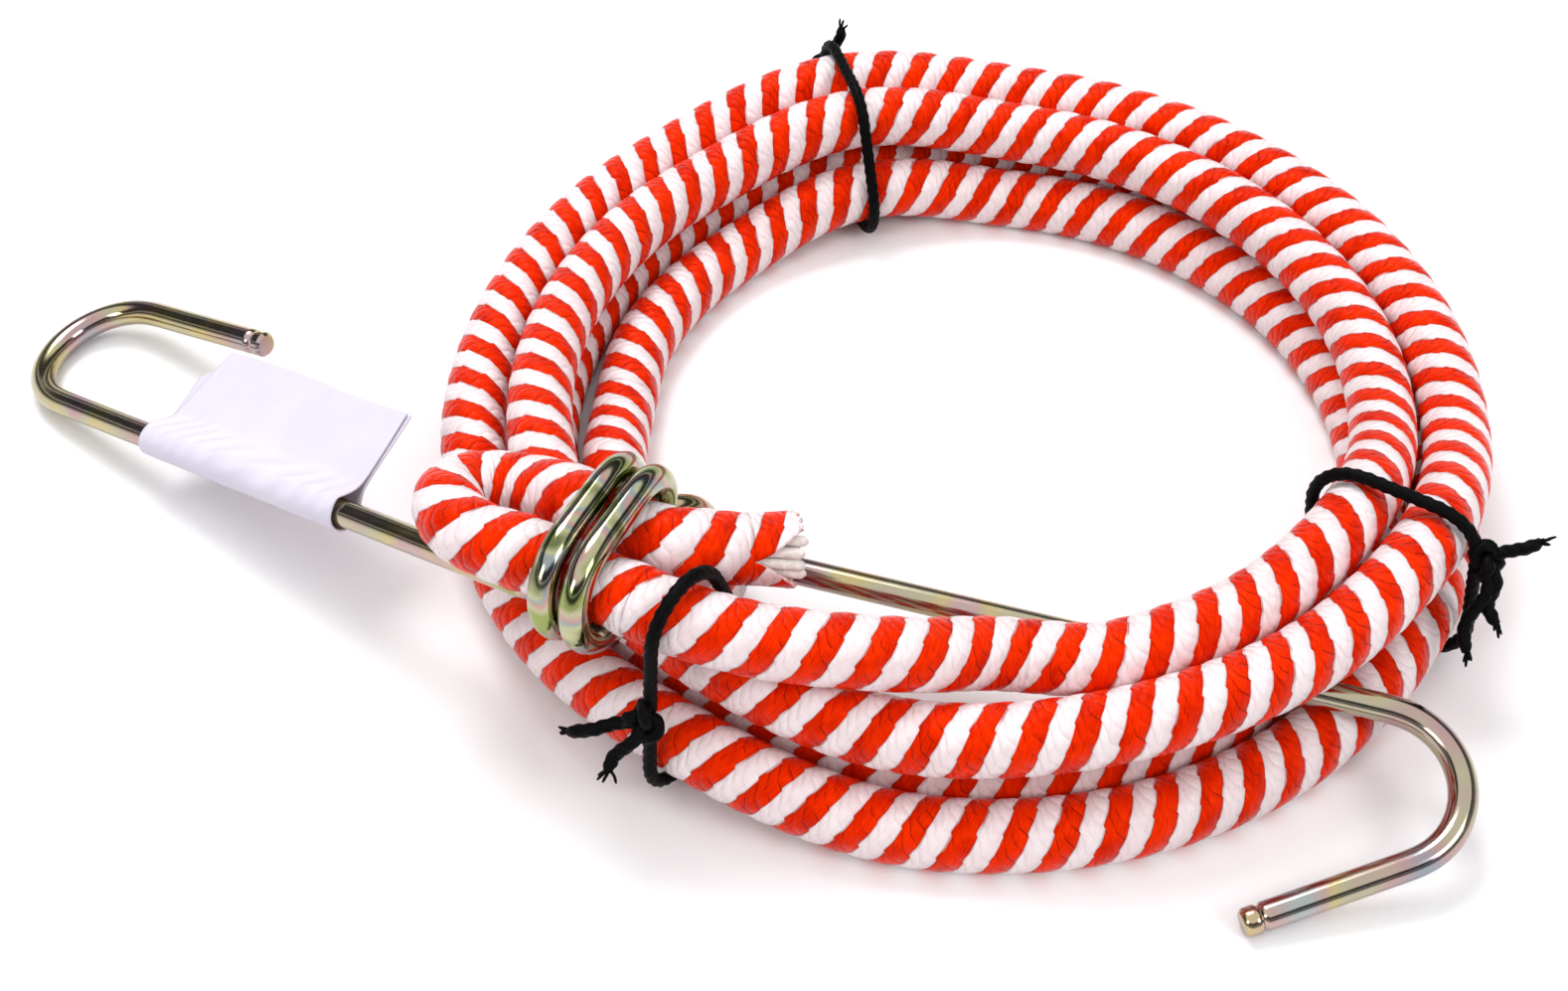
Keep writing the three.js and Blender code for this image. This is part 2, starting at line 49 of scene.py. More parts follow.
# Stage: a table covered with white paper, under three large soft lamps, seen from above the front of the
# ring. The room is pale near the table, dark above it with one pale strip, and white overhead, which gives
# the bright wire its dark lines.
PHOTO_WIDTH_PX = 1578
FOCAL_PX = 2176
SENSOR_MM = 36
CAMERA_PLACE = (0.0351, -0.2356, 0.2441)
CAMERA_TILT_DEG = 42.92
CAMERA_TURN_DEG = 7.17
NEAR_CLIP = 0.01
TABLE_SIZE = 1.8
TABLE_DROP = 0.0001
TABLE_HEX = "FBFBFC"
TABLE_BOUNCE_HEX = "DEDBDB"
LAMP_AIM = (0.0, 0.0, 0.02)
LAMPS = [
    ("key_lamp", (-0.30, 0.45, 0.95), 0.45, 6.0),
    ("fill_lamp", (0.80, -0.45, 0.75), 0.40, 3.3),
    ("front_lamp", (-0.55, -0.80, 0.70), 0.35, 2.8),
]
ROOM_STOPS = [(0.001, "F2F2F4"), (0.09, "F2F2F4"), (0.21, "34363A"),
              (0.31, "34363A"), (0.36, "E4E4E8"), (0.41, "34363A"), (0.63, "3C3E42"), (0.71, "FFFFFF")]
ROOM_STRENGTH = 1.12


def linear(hex_colour):
    """An sRGB hex colour as linear RGBA."""
    channels = [int(hex_colour[i:i + 2], 16) / 255 for i in (0, 2, 4)]
    return [c / 12.92 if c <= 0.04045 else ((c + 0.055) / 1.055) ** 2.4 for c in channels] + [1.0]


def add_node(tree, kind, inputs=None, stops=(), **settings):
    """Adds a node with its settings, its colour stops, and values or links on its input sockets."""
    node = tree.nodes.new(kind)
    for name, value in settings.items():
        setattr(node, name, value)
    for position, tint in stops:
        node.color_ramp.elements.new(position).color = linear(tint)
    if stops:
        node.color_ramp.elements.remove(node.color_ramp.elements[0])
        node.color_ramp.elements.remove(node.color_ramp.elements[-1])
    for socket, value in (inputs or {}).items():
        if isinstance(value, bpy.types.Node):
            value = next(output for output in value.outputs if output.enabled)
        if isinstance(value, bpy.types.NodeSocket):
            tree.links.new(value, node.inputs[socket])
        else:
            node.inputs[socket].default_value = value
    return node


def new_material(name):
    """An empty node material and its tree."""
    material = bpy.data.materials.new(name)
    material.use_nodes = True
    material.node_tree.nodes.clear()
    return material, material.node_tree


camera_data = bpy.data.cameras.new("camera")
camera_data.sensor_width = SENSOR_MM
camera_data.lens = SENSOR_MM * FOCAL_PX / PHOTO_WIDTH_PX
camera_data.clip_start = NEAR_CLIP
camera = bpy.data.objects.new("camera", camera_data)
camera.location = CAMERA_PLACE
camera.rotation_euler = (math.radians(CAMERA_TILT_DEG), 0, math.radians(CAMERA_TURN_DEG))
bpy.context.collection.objects.link(camera)
bpy.context.scene.camera = camera
bpy.context.scene.view_settings.view_transform = "Standard"

for lamp_name, lamp_place, lamp_size, power in LAMPS:
    lamp_data = bpy.data.lights.new(lamp_name, "AREA")
    lamp_data.size = lamp_size
    lamp_data.energy = power
    lamp = bpy.data.objects.new(lamp_name, lamp_data)
    lamp.location = lamp_place
    aim = np.array(LAMP_AIM) - np.array(lamp_place)
    tilt = math.acos(-aim[2] / np.linalg.norm(aim))
    lamp.rotation_euler = (tilt, 0, math.atan2(aim[1], aim[0]) - math.pi / 2)
    bpy.context.collection.objects.link(lamp)

bpy.ops.mesh.primitive_plane_add(size=TABLE_SIZE, location=(0, 0, -TABLE_DROP))
table = bpy.context.object
table.name = "table"
bpy.ops.object.select_all(action="DESELECT")
# Matt white paper: nearly white to the eye and in the metal, and a little darker for the light it returns.
table_paper, tree = new_material("matt_table_paper")
light_path = add_node(tree, "ShaderNodeLightPath")
seen_or_mirrored = add_node(tree, "ShaderNodeMath", {
    0: light_path.outputs["Is Camera Ray"], 1: light_path.outputs["Is Glossy Ray"]}, operation="MAXIMUM")
looked_at = add_node(tree, "ShaderNodeMath", {
    0: seen_or_mirrored, 1: light_path.outputs["Is Transmission Ray"]}, operation="MAXIMUM")
table_tone = add_node(tree, "ShaderNodeMix", {
    "Factor": looked_at, "A": linear(TABLE_BOUNCE_HEX), "B": linear(TABLE_HEX)}, data_type="RGBA")
table_shader = add_node(tree, "ShaderNodeBsdfDiffuse", {"Color": table_tone})
add_node(tree, "ShaderNodeOutputMaterial", {"Surface": table_shader})
table.data.materials.append(table_paper)

room = bpy.data.worlds.new("room")
bpy.context.scene.world = room
room.use_nodes = True
tree = room.node_tree
tree.nodes.clear()
direction = add_node(tree, "ShaderNodeTexCoord").outputs["Generated"]
heights = add_node(tree, "ShaderNodeSeparateXYZ", {0: direction})
walls = add_node(tree, "ShaderNodeValToRGB", {0: heights.outputs["Z"]}, stops=ROOM_STOPS)
air = add_node(tree, "ShaderNodeBackground", {"Color": walls, "Strength": ROOM_STRENGTH})
add_node(tree, "ShaderNodeOutputWorld", {"Surface": air})

# Cord of the ring: rubber strands in a plaited sheath of polypropylene ribbon. It is one unbroken length,
# wound from the doubled left end outwards in an upper layer and inwards in a lower one to the right hook.
CORD_RADIUS = 0.0049
CORD_DIAMETER = 0.010
CORD_SIDES = 24
FLOOR_CLEARANCE = 0.0001
ROUTE_STEP = 0.0006
SOFTEN_PASSES = 40
LEFT_JOIN_RANGE = (100, 260)
LEFT_NECK_REACH = 160
RIGHT_NECK_REACH = 200
RING_CENTRE = (0.03473, 0.00218)
RING_START = (0.04395, -0.05434, 0.02096)
RING_END = (-0.02014, 0.00288, 0.00400)
START_ANGLE = 289
RING_LOOPS = 88 / 24
RING_STATIONS = 1400
INNER_RADIUS = 0.0585
LOOP_PITCH = 0.0107
REVERSE_LOOP = 1.72
CLIMB_LOOPS = 0.5
LOWER_HEIGHT = 0.004
HUMP_RISE = 0.0059
HUMP_ANGLE = 306
HUMP_SPREAD = 62
TIE_LIFT = 0.0036
TIE_ANGLES = (113, 335, 242)
LIFT_SPREAD = 28
LEFT_END_ROUTE = [
    (0.0120, -0.0453, 0.0274), (0.0083, -0.0467, 0.0285), (0.0046, -0.0481, 0.0296),
    (0.0008, -0.0494, 0.0306), (-0.0032, -0.0500, 0.0314), (-0.0070, -0.0486, 0.0315),
    (-0.0107, -0.0467, 0.0315), (-0.0145, -0.0452, 0.0316), (-0.0180, -0.0432, 0.0307),
    (-0.0212, -0.0410, 0.0292), (-0.0245, -0.0391, 0.0278), (-0.0285, -0.0388, 0.0275),
    (-0.0324, -0.0399, 0.0284), (-0.0352, -0.0425, 0.0295), (-0.0345, -0.0464, 0.0305),
    (-0.0324, -0.0499, 0.0313), (-0.0290, -0.0522, 0.0316), (-0.0250, -0.0532, 0.0315),
    (-0.0210, -0.0540, 0.0314), (-0.0171, -0.0554, 0.0314), (-0.0134, -0.0571, 0.0314),
    (-0.0095, -0.0587, 0.0314), (-0.0057, -0.0603, 0.0314),
]
LEFT_NECK_ROUTE = [
    (-0.0025, -0.0618, 0.0315), (0.0006, -0.0623, 0.0309), (0.0038, -0.0624, 0.0301),
    (0.0069, -0.0625, 0.0293), (0.0101, -0.0624, 0.0286), (0.0133, -0.0623, 0.0281),
    (0.0165, -0.0620, 0.0278), (0.0198, -0.0616, 0.0273), (0.0229, -0.0611, 0.0267),
    (0.0260, -0.0604, 0.0260), (0.0290, -0.0596, 0.0252), (0.0320, -0.0586, 0.0243),
    (0.0348, -0.0572, 0.0233), (0.0375, -0.0558, 0.0223), (0.0404, -0.0547, 0.0214),
]
RIGHT_NECK_ROUTE = [
    (-0.0200, -0.0016, 0.0041), (-0.0198, -0.0058, 0.0050), (-0.0194, -0.0098, 0.0061),
    (-0.0189, -0.0139, 0.0073), (-0.0180, -0.0179, 0.0082),
]
RIGHT_END_ROUTE = [
    (-0.0150, -0.0212, 0.0083), (-0.0127, -0.0236, 0.0083), (-0.0110, -0.0254, 0.0083),
    (-0.0093, -0.0272, 0.0083), (-0.0046, -0.0320, 0.0083), (0.0000, -0.0368, 0.0083),
    (0.0016, -0.0385, 0.0083),
]
STRIPE_PERIOD = 0.0065
STRIPE_STARTS = 2
RIBBON_CROSSINGS = 8
RIBBON_RELIEF = 0.00022
RIBBON_ROUNDNESS = 0.6
# Painted sheen and shade: the deep red and the shaded white are the dark ends of a painted satin sheen, and
# the whites' pink, strongest in the shaded white, is painted red bounce light.
RED_HEX = "FF3200"
DEEP_RED_HEX = "BC1200"
WHITE_HEX = "F8EEF0"
SHADED_WHITE_HEX = "EFD6D8"
# The dark red below is painted shade, laid into the plait's crevices and along the band edges.
GROOVE_SHADE_HEX = "5C0C06"
RED_GLEAM_HEX = "FF5A26"
WHITE_GLEAM_HEX = "FFFFFF"
EDGE_STEP = 0.019
EDGE_CHANCE = 0.034
STROKE_SLANT = -1.6
BREAK_SIZE = 0.0033
MOTTLE_SIZE = 0.0043
CREASE_SIZE = 0.00125
THREADS_PER_PERIOD = 34
THREAD_LENGTH = 0.7


def swell(angle, middle, spread):
    """A smooth rise of the ring, one at its middle and nothing beyond its spread, in degrees."""
    off = abs((angle - middle + 180) % 360 - 180)
    return math.cos(min(off / spread, 1) * math.pi / 2) ** 2


def tie_lift(angle):
    """How far the ties lift the ring at an angle."""
    return TIE_LIFT * sum(swell(angle, tie, LIFT_SPREAD) for tie in TIE_ANGLES)


def ring_radius(loop):
    """The ring's radius at a number of loops from its upper end."""
    return INNER_RADIUS + LOOP_PITCH * (REVERSE_LOOP - abs(loop - REVERSE_LOOP))


def ring_point(loop):
    """The ring's centre line at a number of loops from its upper end."""
    angle = START_ANGLE + 360 * loop
    radius = ring_radius(loop)
    t = min(max((loop - REVERSE_LOOP) / CLIMB_LOOPS + 0.5, 0), 1)
    climbed = t * t * (3 - 2 * t)
    upper = LOWER_HEIGHT + LOOP_PITCH + HUMP_RISE * swell(angle, HUMP_ANGLE, HUMP_SPREAD)
    return (RING_CENTRE[0] + radius * math.cos(math.radians(angle)),
            RING_CENTRE[1] + radius * math.sin(math.radians(angle)),
            upper * (1 - climbed) + LOWER_HEIGHT * climbed + tie_lift(angle))


def run_along(points):
    """The distance run at each point of a route."""
    return np.concatenate([[0], np.cumsum(np.linalg.norm(np.diff(points, axis=0), axis=1))])


def even_route(points, step):
    """The same route in even steps."""
    points = np.array(points, float)
    run = run_along(points)
    stations = np.linspace(0, run[-1], int(round(run[-1] / step)) + 1)
    return np.stack([np.interp(stations, run, points[:, k]) for k in range(3)], axis=1)


def soften(points, passes):
    """Rounds the corners of an even route, with its ends kept."""
    points = points.copy()
    for _ in range(passes):
        points[1:-1] = 0.25 * points[:-2] + 0.5 * points[1:-1] + 0.25 * points[2:]
    return points


def cross_axes(points, first_side):
    """Side and rise axes carried along a route without twist, from a side at its first point."""
    ways = np.gradient(points, axis=0)
    ways /= np.linalg.norm(ways, axis=1)[:, None]
    sides = np.empty_like(points)
    side = np.array(first_side, float)
    for i, way in enumerate(ways):
        side = side - way * (side @ way)
        side /= np.linalg.norm(side)
        sides[i] = side
    return sides, np.cross(ways, sides)


def tube_object(name, points, sides, rises, radii, along, around):
    """A closed tube along a route. radii has a row for each point, and the UV map holds turns and metres."""
    count = len(points)
    angles = np.linspace(0, 2 * np.pi, around, endpoint=False)
    spokes = np.cos(angles)[None, :, None] * sides[:, None] + np.sin(angles)[None, :, None] * rises[:, None]
    shell = (points[:, None] + spokes * radii[:, :, None]).reshape(-1, 3)
    faces = []
    uvs = []
    for i in range(count - 1):
        for k in range(around):
            n = (k + 1) % around
            faces.append((i * around + k, i * around + n, (i + 1) * around + n, (i + 1) * around + k))
            uvs += [(k / around, along[i]), ((k + 1) / around, along[i]),
                    ((k + 1) / around, along[i + 1]), (k / around, along[i + 1])]
    faces.append(tuple(range(around))[::-1])
    uvs += [(k / around, along[0]) for k in range(around)][::-1]
    faces.append(tuple((count - 1) * around + k for k in range(around)))
    uvs += [(k / around, along[-1]) for k in range(around)]
    mesh = bpy.data.meshes.new(name)
    mesh.from_pydata(shell.tolist(), [], faces)
    layer = mesh.uv_layers.new(name="lay")
    layer.data.foreach_set("uv", np.array(uvs, np.float32).ravel())
    mesh.polygons.foreach_set("use_smooth", np.ones(len(faces), bool))
    mesh.update()
    piece = bpy.data.objects.new(name, mesh)
    bpy.context.collection.objects.link(piece)
    return piece


def cord_stretch(name, first, last, pinch=0):
    """One stretch of the sheath, with the plait's bands standing proud along their helix."""
    part = slice(first, last + 1)
    turns = np.arange(CORD_SIDES) / CORD_SIDES
    phase = reach[part][:, None] / STRIPE_PERIOD + STRIPE_STARTS * turns[None, :]
    crown = np.abs(np.cos(2 * np.pi * phase)) ** RIBBON_ROUNDNESS
    radii = CORD_RADIUS + RIBBON_RELIEF * (crown - RIBBON_ROUNDNESS) - np.reshape(pinch, (-1, 1))
    piece = tube_object(name, route[part], side_axes[part], rise_axes[part], radii, reach[part], CORD_SIDES)
    for vertex in piece.data.vertices:
        vertex.co.z = max(vertex.co.z, FLOOR_CLEARANCE)
    piece.data.materials.append(plaited_sheath)
    return piece


def nearest(place, low=0, high=None):
    """The index of the route's point nearest a place, between two indices."""
    return low + int(np.argmin(np.linalg.norm(route[low:high] - np.array(place), axis=1)))


ring_points = [ring_point(RING_LOOPS * i / RING_STATIONS) for i in range(RING_STATIONS + 1)]
ring_route = [RING_START] + ring_points + [RING_END]
stretches = [LEFT_END_ROUTE, LEFT_NECK_ROUTE, ring_route, RIGHT_NECK_ROUTE, RIGHT_END_ROUTE]
route = soften(even_route([p for stretch in stretches for p in stretch], ROUTE_STEP), SOFTEN_PASSES)
reach = run_along(route)
left_join = nearest(LEFT_END_ROUTE[-1], *LEFT_JOIN_RANGE)
coil_start = nearest(RING_START, left_join, left_join + LEFT_NECK_REACH)
coil_end = nearest(RING_END, len(route) - RIGHT_NECK_REACH)
right_join = nearest(RIGHT_END_ROUTE[0], coil_end)
level_side = np.cross((0, 0, 1), route[coil_start + 1] - route[coil_start])
ahead = cross_axes(route[coil_start:], level_side)
behind = cross_axes(route[:coil_start + 1][::-1], level_side)
side_axes = np.concatenate([behind[0][::-1][:-1], ahead[0]])
rise_axes = np.concatenate([-behind[1][::-1][:-1], ahead[1]])

# Plaited polypropylene ribbon: satin, with a soft gleam and fine streaks along the fibres. The sheen is
# partly
# painted: the colour lightens and darkens each ribbon and streak as painted highlight and shade. Ribbons of
# the other hand pass under each band, so its edges step, and short dark nicks of painted shade lie in the
# crevices where they cross; painted shade also darkens the grooves along the band edges. The real fibres are
# finer than a tenth of a millimetre, and are drawn about twice as coarse so that they show.
plaited_sheath, tree = new_material("plaited_polypropylene")
lay = add_node(tree, "ShaderNodeUVMap", uv_map="lay")
turn_and_reach = add_node(tree, "ShaderNodeSeparateXYZ", {0: lay})
turn = turn_and_reach.outputs["X"]
metres = turn_and_reach.outputs["Y"]
place = add_node(tree, "ShaderNodeTexCoord").outputs["Object"]
bands = add_node(tree, "ShaderNodeMath", {0: metres, 1: 1 / STRIPE_PERIOD}, operation="MULTIPLY")
stripe_phase = add_node(tree, "ShaderNodeMath", {
    0: turn, 1: STRIPE_STARTS, 2: bands}, operation="MULTIPLY_ADD")
back_lay = add_node(tree, "ShaderNodeMath", {
    0: metres, 1: -RIBBON_CROSSINGS / (STRIPE_STARTS * STRIPE_PERIOD)}, operation="MULTIPLY")
cross_phase = add_node(tree, "ShaderNodeMath", {
    0: turn, 1: RIBBON_CROSSINGS, 2: back_lay}, operation="MULTIPLY_ADD")
pair_phase = add_node(tree, "ShaderNodeMath", {0: cross_phase, 1: 0.5}, operation="MULTIPLY")
pair_part = add_node(tree, "ShaderNodeMath", {0: pair_phase}, operation="FRACT")
pair_number = add_node(tree, "ShaderNodeMath", {0: pair_phase}, operation="FLOOR")
half_bands = add_node(tree, "ShaderNodeMath", {0: stripe_phase, 1: 2, 2: 0.5}, operation="MULTIPLY_ADD")
band_number = add_node(tree, "ShaderNodeMath", {0: half_bands}, operation="FLOOR")
pair_place = add_node(tree, "ShaderNodeCombineXYZ", {0: pair_number, 1: band_number})
pair_chance = add_node(tree, "ShaderNodeTexWhiteNoise", {"Vector": pair_place}, noise_dimensions="2D")
tight_step = add_node(tree, "ShaderNodeMapRange", {
    "Value": pair_part, "From Min": 0.42, "To Min": -EDGE_STEP, "To Max": EDGE_STEP},
    interpolation_type="SMOOTHSTEP")
loose_step = add_node(tree, "ShaderNodeMath", {
    0: pair_chance, 1: EDGE_CHANCE, 2: tight_step}, operation="MULTIPLY_ADD")
stepped = add_node(tree, "ShaderNodeMath", {0: stripe_phase, 1: loose_step}, operation="ADD")
folded = add_node(tree, "ShaderNodeMath", {0: stepped, 1: 0.5}, operation="PINGPONG")
is_white = add_node(tree, "ShaderNodeMapRange", {
    "Value": folded, "From Min": 0.244, "From Max": 0.256}, interpolation_type="SMOOTHSTEP")
from_edge = add_node(tree, "ShaderNodeMath", {0: folded, 1: 0.25}, operation="SUBTRACT")
edge_gap = add_node(tree, "ShaderNodeMath", {0: from_edge}, operation="ABSOLUTE")
band_rise = add_node(tree, "ShaderNodeMapRange", {
    "Value": edge_gap, "From Max": 0.20}, interpolation_type="SMOOTHSTEP")
band_pillow = add_node(tree, "ShaderNodeMath", {0: band_rise, 1: 0.55}, operation="POWER")
slanted = add_node(tree, "ShaderNodeMath", {
    0: edge_gap, 1: STROKE_SLANT, 2: cross_phase}, operation="MULTIPLY_ADD")
stroke_gap = add_node(tree, "ShaderNodeMath", {0: slanted, 1: 0.5}, operation="PINGPONG")
ribbon_rise = add_node(tree, "ShaderNodeMapRange", {
    "Value": stroke_gap, "From Max": 0.40}, interpolation_type="SMOOTHSTEP")
ribbon_pillow = add_node(tree, "ShaderNodeMath", {0: ribbon_rise, 1: 0.55}, operation="POWER")
crevice_shade = add_node(tree, "ShaderNodeMapRange", {
    "Value": stroke_gap, "From Min": 0.02, "From Max": 0.10, "To Min": 1.0, "To Max": 0.0},
    interpolation_type="SMOOTHSTEP")
breaks = add_node(tree, "ShaderNodeTexNoise", {"Vector": place, "Scale": 1 / BREAK_SIZE, "Detail": 2.0})
broken = add_node(tree, "ShaderNodeMapRange", {
    "Value": breaks, "From Min": 0.46, "From Max": 0.58}, interpolation_type="SMOOTHSTEP")
ribbon_number = add_node(tree, "ShaderNodeMath", {0: slanted}, operation="FLOOR")
ribbon_place = add_node(tree, "ShaderNodeCombineXYZ", {0: ribbon_number, 1: band_number})
ribbon_chance = add_node(tree, "ShaderNodeTexWhiteNoise", {"Vector": ribbon_place}, noise_dimensions="2D")
across_threads = add_node(tree, "ShaderNodeMath", {
    0: stripe_phase, 1: THREADS_PER_PERIOD}, operation="MULTIPLY")
along_threads = add_node(tree, "ShaderNodeMath", {0: cross_phase, 1: THREAD_LENGTH}, operation="MULTIPLY")
thread_place = add_node(tree, "ShaderNodeCombineXYZ", {0: across_threads, 1: along_threads})
threads = add_node(tree, "ShaderNodeTexNoise", {"Vector": thread_place, "Scale": 1.0, "Detail": 2.0})
sheen_streaks = add_node(tree, "ShaderNodeMapRange", {
    "Value": threads, "From Min": 0.30, "From Max": 0.70, "To Max": 0.40}, interpolation_type="SMOOTHSTEP")
mottle = add_node(tree, "ShaderNodeTexNoise", {"Vector": place, "Scale": 1 / MOTTLE_SIZE, "Detail": 3.0})
patches = add_node(tree, "ShaderNodeMapRange", {
    "Value": mottle, "From Min": 0.32, "From Max": 0.60, "To Max": 0.35}, interpolation_type="SMOOTHSTEP")
creases = add_node(tree, "ShaderNodeTexNoise", {"Vector": place, "Scale": 1 / CREASE_SIZE, "Detail": 2.0})
# Painted sheen: each ribbon and fibre streak is lightened or darkened as the satin's gleam; the mottled
# patches are colour that varies at random.
painted_satin_sheen = add_node(tree, "ShaderNodeMath", {0: ribbon_chance, 1: 0.25, 2: sheen_streaks}, operation="MULTIPLY_ADD")
sheen_and_mottle = add_node(tree, "ShaderNodeMath", {0: painted_satin_sheen, 1: patches}, operation="ADD")
red_tone = add_node(tree, "ShaderNodeMix", {
    "Factor": sheen_and_mottle, "A": linear(DEEP_RED_HEX), "B": linear(RED_HEX)}, data_type="RGBA")
white_tone = add_node(tree, "ShaderNodeMix", {
    "Factor": sheen_and_mottle, "A": linear(SHADED_WHITE_HEX), "B": linear(WHITE_HEX)}, data_type="RGBA")
striped = add_node(tree, "ShaderNodeMix", {
    "Factor": is_white, "A": red_tone, "B": white_tone}, data_type="RGBA")
# Painted shade: dark nicks in the crevices where ribbons cross, strong on red and faint on white, and
# darkening along the band edges.
crevice_shade_depth = add_node(tree, "ShaderNodeMapRange", {"Value": is_white, "To Min": 0.62, "To Max": 0.10})
short_crevice_shade = add_node(tree, "ShaderNodeMath", {0: crevice_shade, 1: broken}, operation="MULTIPLY")
stroke_shade = add_node(tree, "ShaderNodeMath", {0: short_crevice_shade, 1: crevice_shade_depth}, operation="MULTIPLY")
edge_shade = add_node(tree, "ShaderNodeMapRange", {
    "Value": edge_gap, "From Max": 0.045, "To Min": 0.40, "To Max": 0.0}, interpolation_type="SMOOTHSTEP")
shade = add_node(tree, "ShaderNodeMath", {0: stroke_shade, 1: edge_shade}, operation="MAXIMUM")
sheath_tone = add_node(tree, "ShaderNodeMix", {
    "Factor": shade, "A": striped, "B": linear(GROOVE_SHADE_HEX)}, data_type="RGBA")
plait_height = add_node(tree, "ShaderNodeMath", {
    0: ribbon_pillow, 1: 0.45, 2: band_pillow}, operation="MULTIPLY_ADD")
thread_height = add_node(tree, "ShaderNodeMath", {
    0: threads, 1: 0.30, 2: plait_height}, operation="MULTIPLY_ADD")
sheath_height = add_node(tree, "ShaderNodeMath", {
    0: creases, 1: 0.20, 2: thread_height}, operation="MULTIPLY_ADD")
sheath_bump = add_node(tree, "ShaderNodeBump", {
    "Strength": 0.70, "Distance": 0.0004, "Height": sheath_height})
sheath_gloss = add_node(tree, "ShaderNodeMapRange", {
    "Value": threads, "From Min": 0.2, "From Max": 0.8, "To Min": 0.22, "To Max": 0.40})
gleam = add_node(tree, "ShaderNodeMix", {
    "Factor": is_white, "A": linear(RED_GLEAM_HEX), "B": linear(WHITE_GLEAM_HEX)}, data_type="RGBA")
sheath_shader = add_node(tree, "ShaderNodeBsdfPrincipled", {
    "Base Color": sheath_tone, "Roughness": sheath_gloss, "Normal": sheath_bump,
    "Specular IOR Level": 0.42, "Specular Tint": gleam})
add_node(tree, "ShaderNodeOutputMaterial", {"Surface": sheath_shader})

cord_coil = cord_stretch("cord_coil", coil_start, coil_end)
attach(cord_coil, "ring")
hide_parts("sheath_coil", "rubber_core_coil")

left_neck = cord_stretch("cord_left_neck", left_join, coil_start)
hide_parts("sheath_left_neck", "rubber_core_left_neck")
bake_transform(left_neck)
right_neck = cord_stretch("cord_right_neck", coil_end, right_join)
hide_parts("sheath_right_neck", "rubber_core_right_neck")
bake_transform(right_neck)

# Left end: the same cord, doubled back on itself in a bight. The wire's winding grips both legs, so the
# sheath is pressed in under the wire and bulges a little on each side of it.
LEFT_CLAMP_ANGLE = 229.6
LEFT_CLAMP_OUTSET = 0.0039
LEFT_HEADING = 157
SEAT_GAP = 0.0003
WIRE_RADIUS = 0.002
UP = np.array([0.0, 0.0, 1.0])
GRIP_DEPTH = 0.00035
GRIP_SPREAD = 0.0060
BULGE_PLACE = 0.0098
BULGE_SPREAD = 0.0026
BULGE_HEIGHT = 0.0003
TAIL_LENGTH = 0.0065


def heading(degrees, fall=0):
    """A unit way at an angle on the ring, falling by an angle from level."""
    turn = math.radians(degrees)
    drop = math.radians(fall)
    return np.array([math.cos(drop) * math.cos(turn), math.cos(drop) * math.sin(turn), -math.sin(drop)])


def crossings(angle):
    """Every loop of the ring that crosses an angle, as a number of loops from its upper end."""
    first = (angle - START_ANGLE) % 360 / 360
    return [first + whole for whole in range(math.ceil(RING_LOOPS - first))]


def by_ring(angle, radius, height):
    """A place at an angle, a radius and a height from the middle of the ring."""
    return np.array([*RING_CENTRE, height]) + heading(angle) * radius


leg_offset = CORD_DIAMETER / 2 + SEAT_GAP
wind_radius = leg_offset + WIRE_RADIUS
left_clamp_radius = ring_radius(crossings(LEFT_CLAMP_ANGLE)[0]) + LEFT_CLAMP_OUTSET
left_clamp_height = LOWER_HEIGHT + LOOP_PITCH + tie_lift(LEFT_CLAMP_ANGLE) + 2 * wind_radius
left_clamp = by_ring(LEFT_CLAMP_ANGLE, left_clamp_radius, left_clamp_height)
left_axis = heading(LEFT_HEADING)
tail_start = int(np.argmax(reach > TAIL_LENGTH))
from_grip = (route[tail_start:left_join + 1] - left_clamp) @ left_axis
bulge = np.exp(-((np.abs(from_grip) - BULGE_PLACE) / BULGE_SPREAD) ** 2)
grip = GRIP_DEPTH * np.exp(-(from_grip / GRIP_SPREAD) ** 2) - BULGE_HEIGHT * bulge
left_end = cord_stretch("cord_left_end", tail_start, left_join, grip)
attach(left_end, "left_end")
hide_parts("sheath_left_end")

# Right end: the last stretch of the cord, drawn in to a waist by the winding of the right hook's wire.
# It lies under the left end, inside the ring.
RIGHT_CLAMP_FROM_END = 0.009
RIGHT_WAIST_DEPTH = 0.0012
WAIST_START = 0.0117
WAIST_SHOULDER = 0.005

from_clamp = np.abs(reach[-1] - RIGHT_CLAMP_FROM_END - reach[right_join:])
squeezed = np.clip((WAIST_START - from_clamp) / WAIST_SHOULDER, 0, 1)
waist = RIGHT_WAIST_DEPTH * squeezed * squeezed * (3 - 2 * squeezed)
right_end = cord_stretch("cord_right_end", right_join, len(route) - 1, waist)
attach(right_end, "right_end")
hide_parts("sheath_right_end", "rubber_core_right_end")

# Left tail: the cut end of the sheath beyond the winding. It has split along its length and sprung open,
# and its ribbon ends are bleached and frayed.
TAIL_WALL = 0.0007
TAIL_SLIT_DEG = 100
TAIL_SLIT_FACING = (0.10, -0.80, 0.45)
TAIL_SLIT_TAPER = 1.3
TAIL_FLARE = 0.07
TAIL_LIP = 0.0004
TAIL_CURL = 0.0006
TAIL_CURL_SPREAD = 0.45
TAIL_RAGGED = (-0.0003, 0.0005)
TAIL_LIP_SPREAD = (0.5, 1.6)
TAIL_AROUND = 56
TAIL_SEED = 11
FRAY_SIZE = 0.00077
FRAY_PINK_HEX = "E9A79C"
FRAY_WHITE_HEX = "F6EFEE"

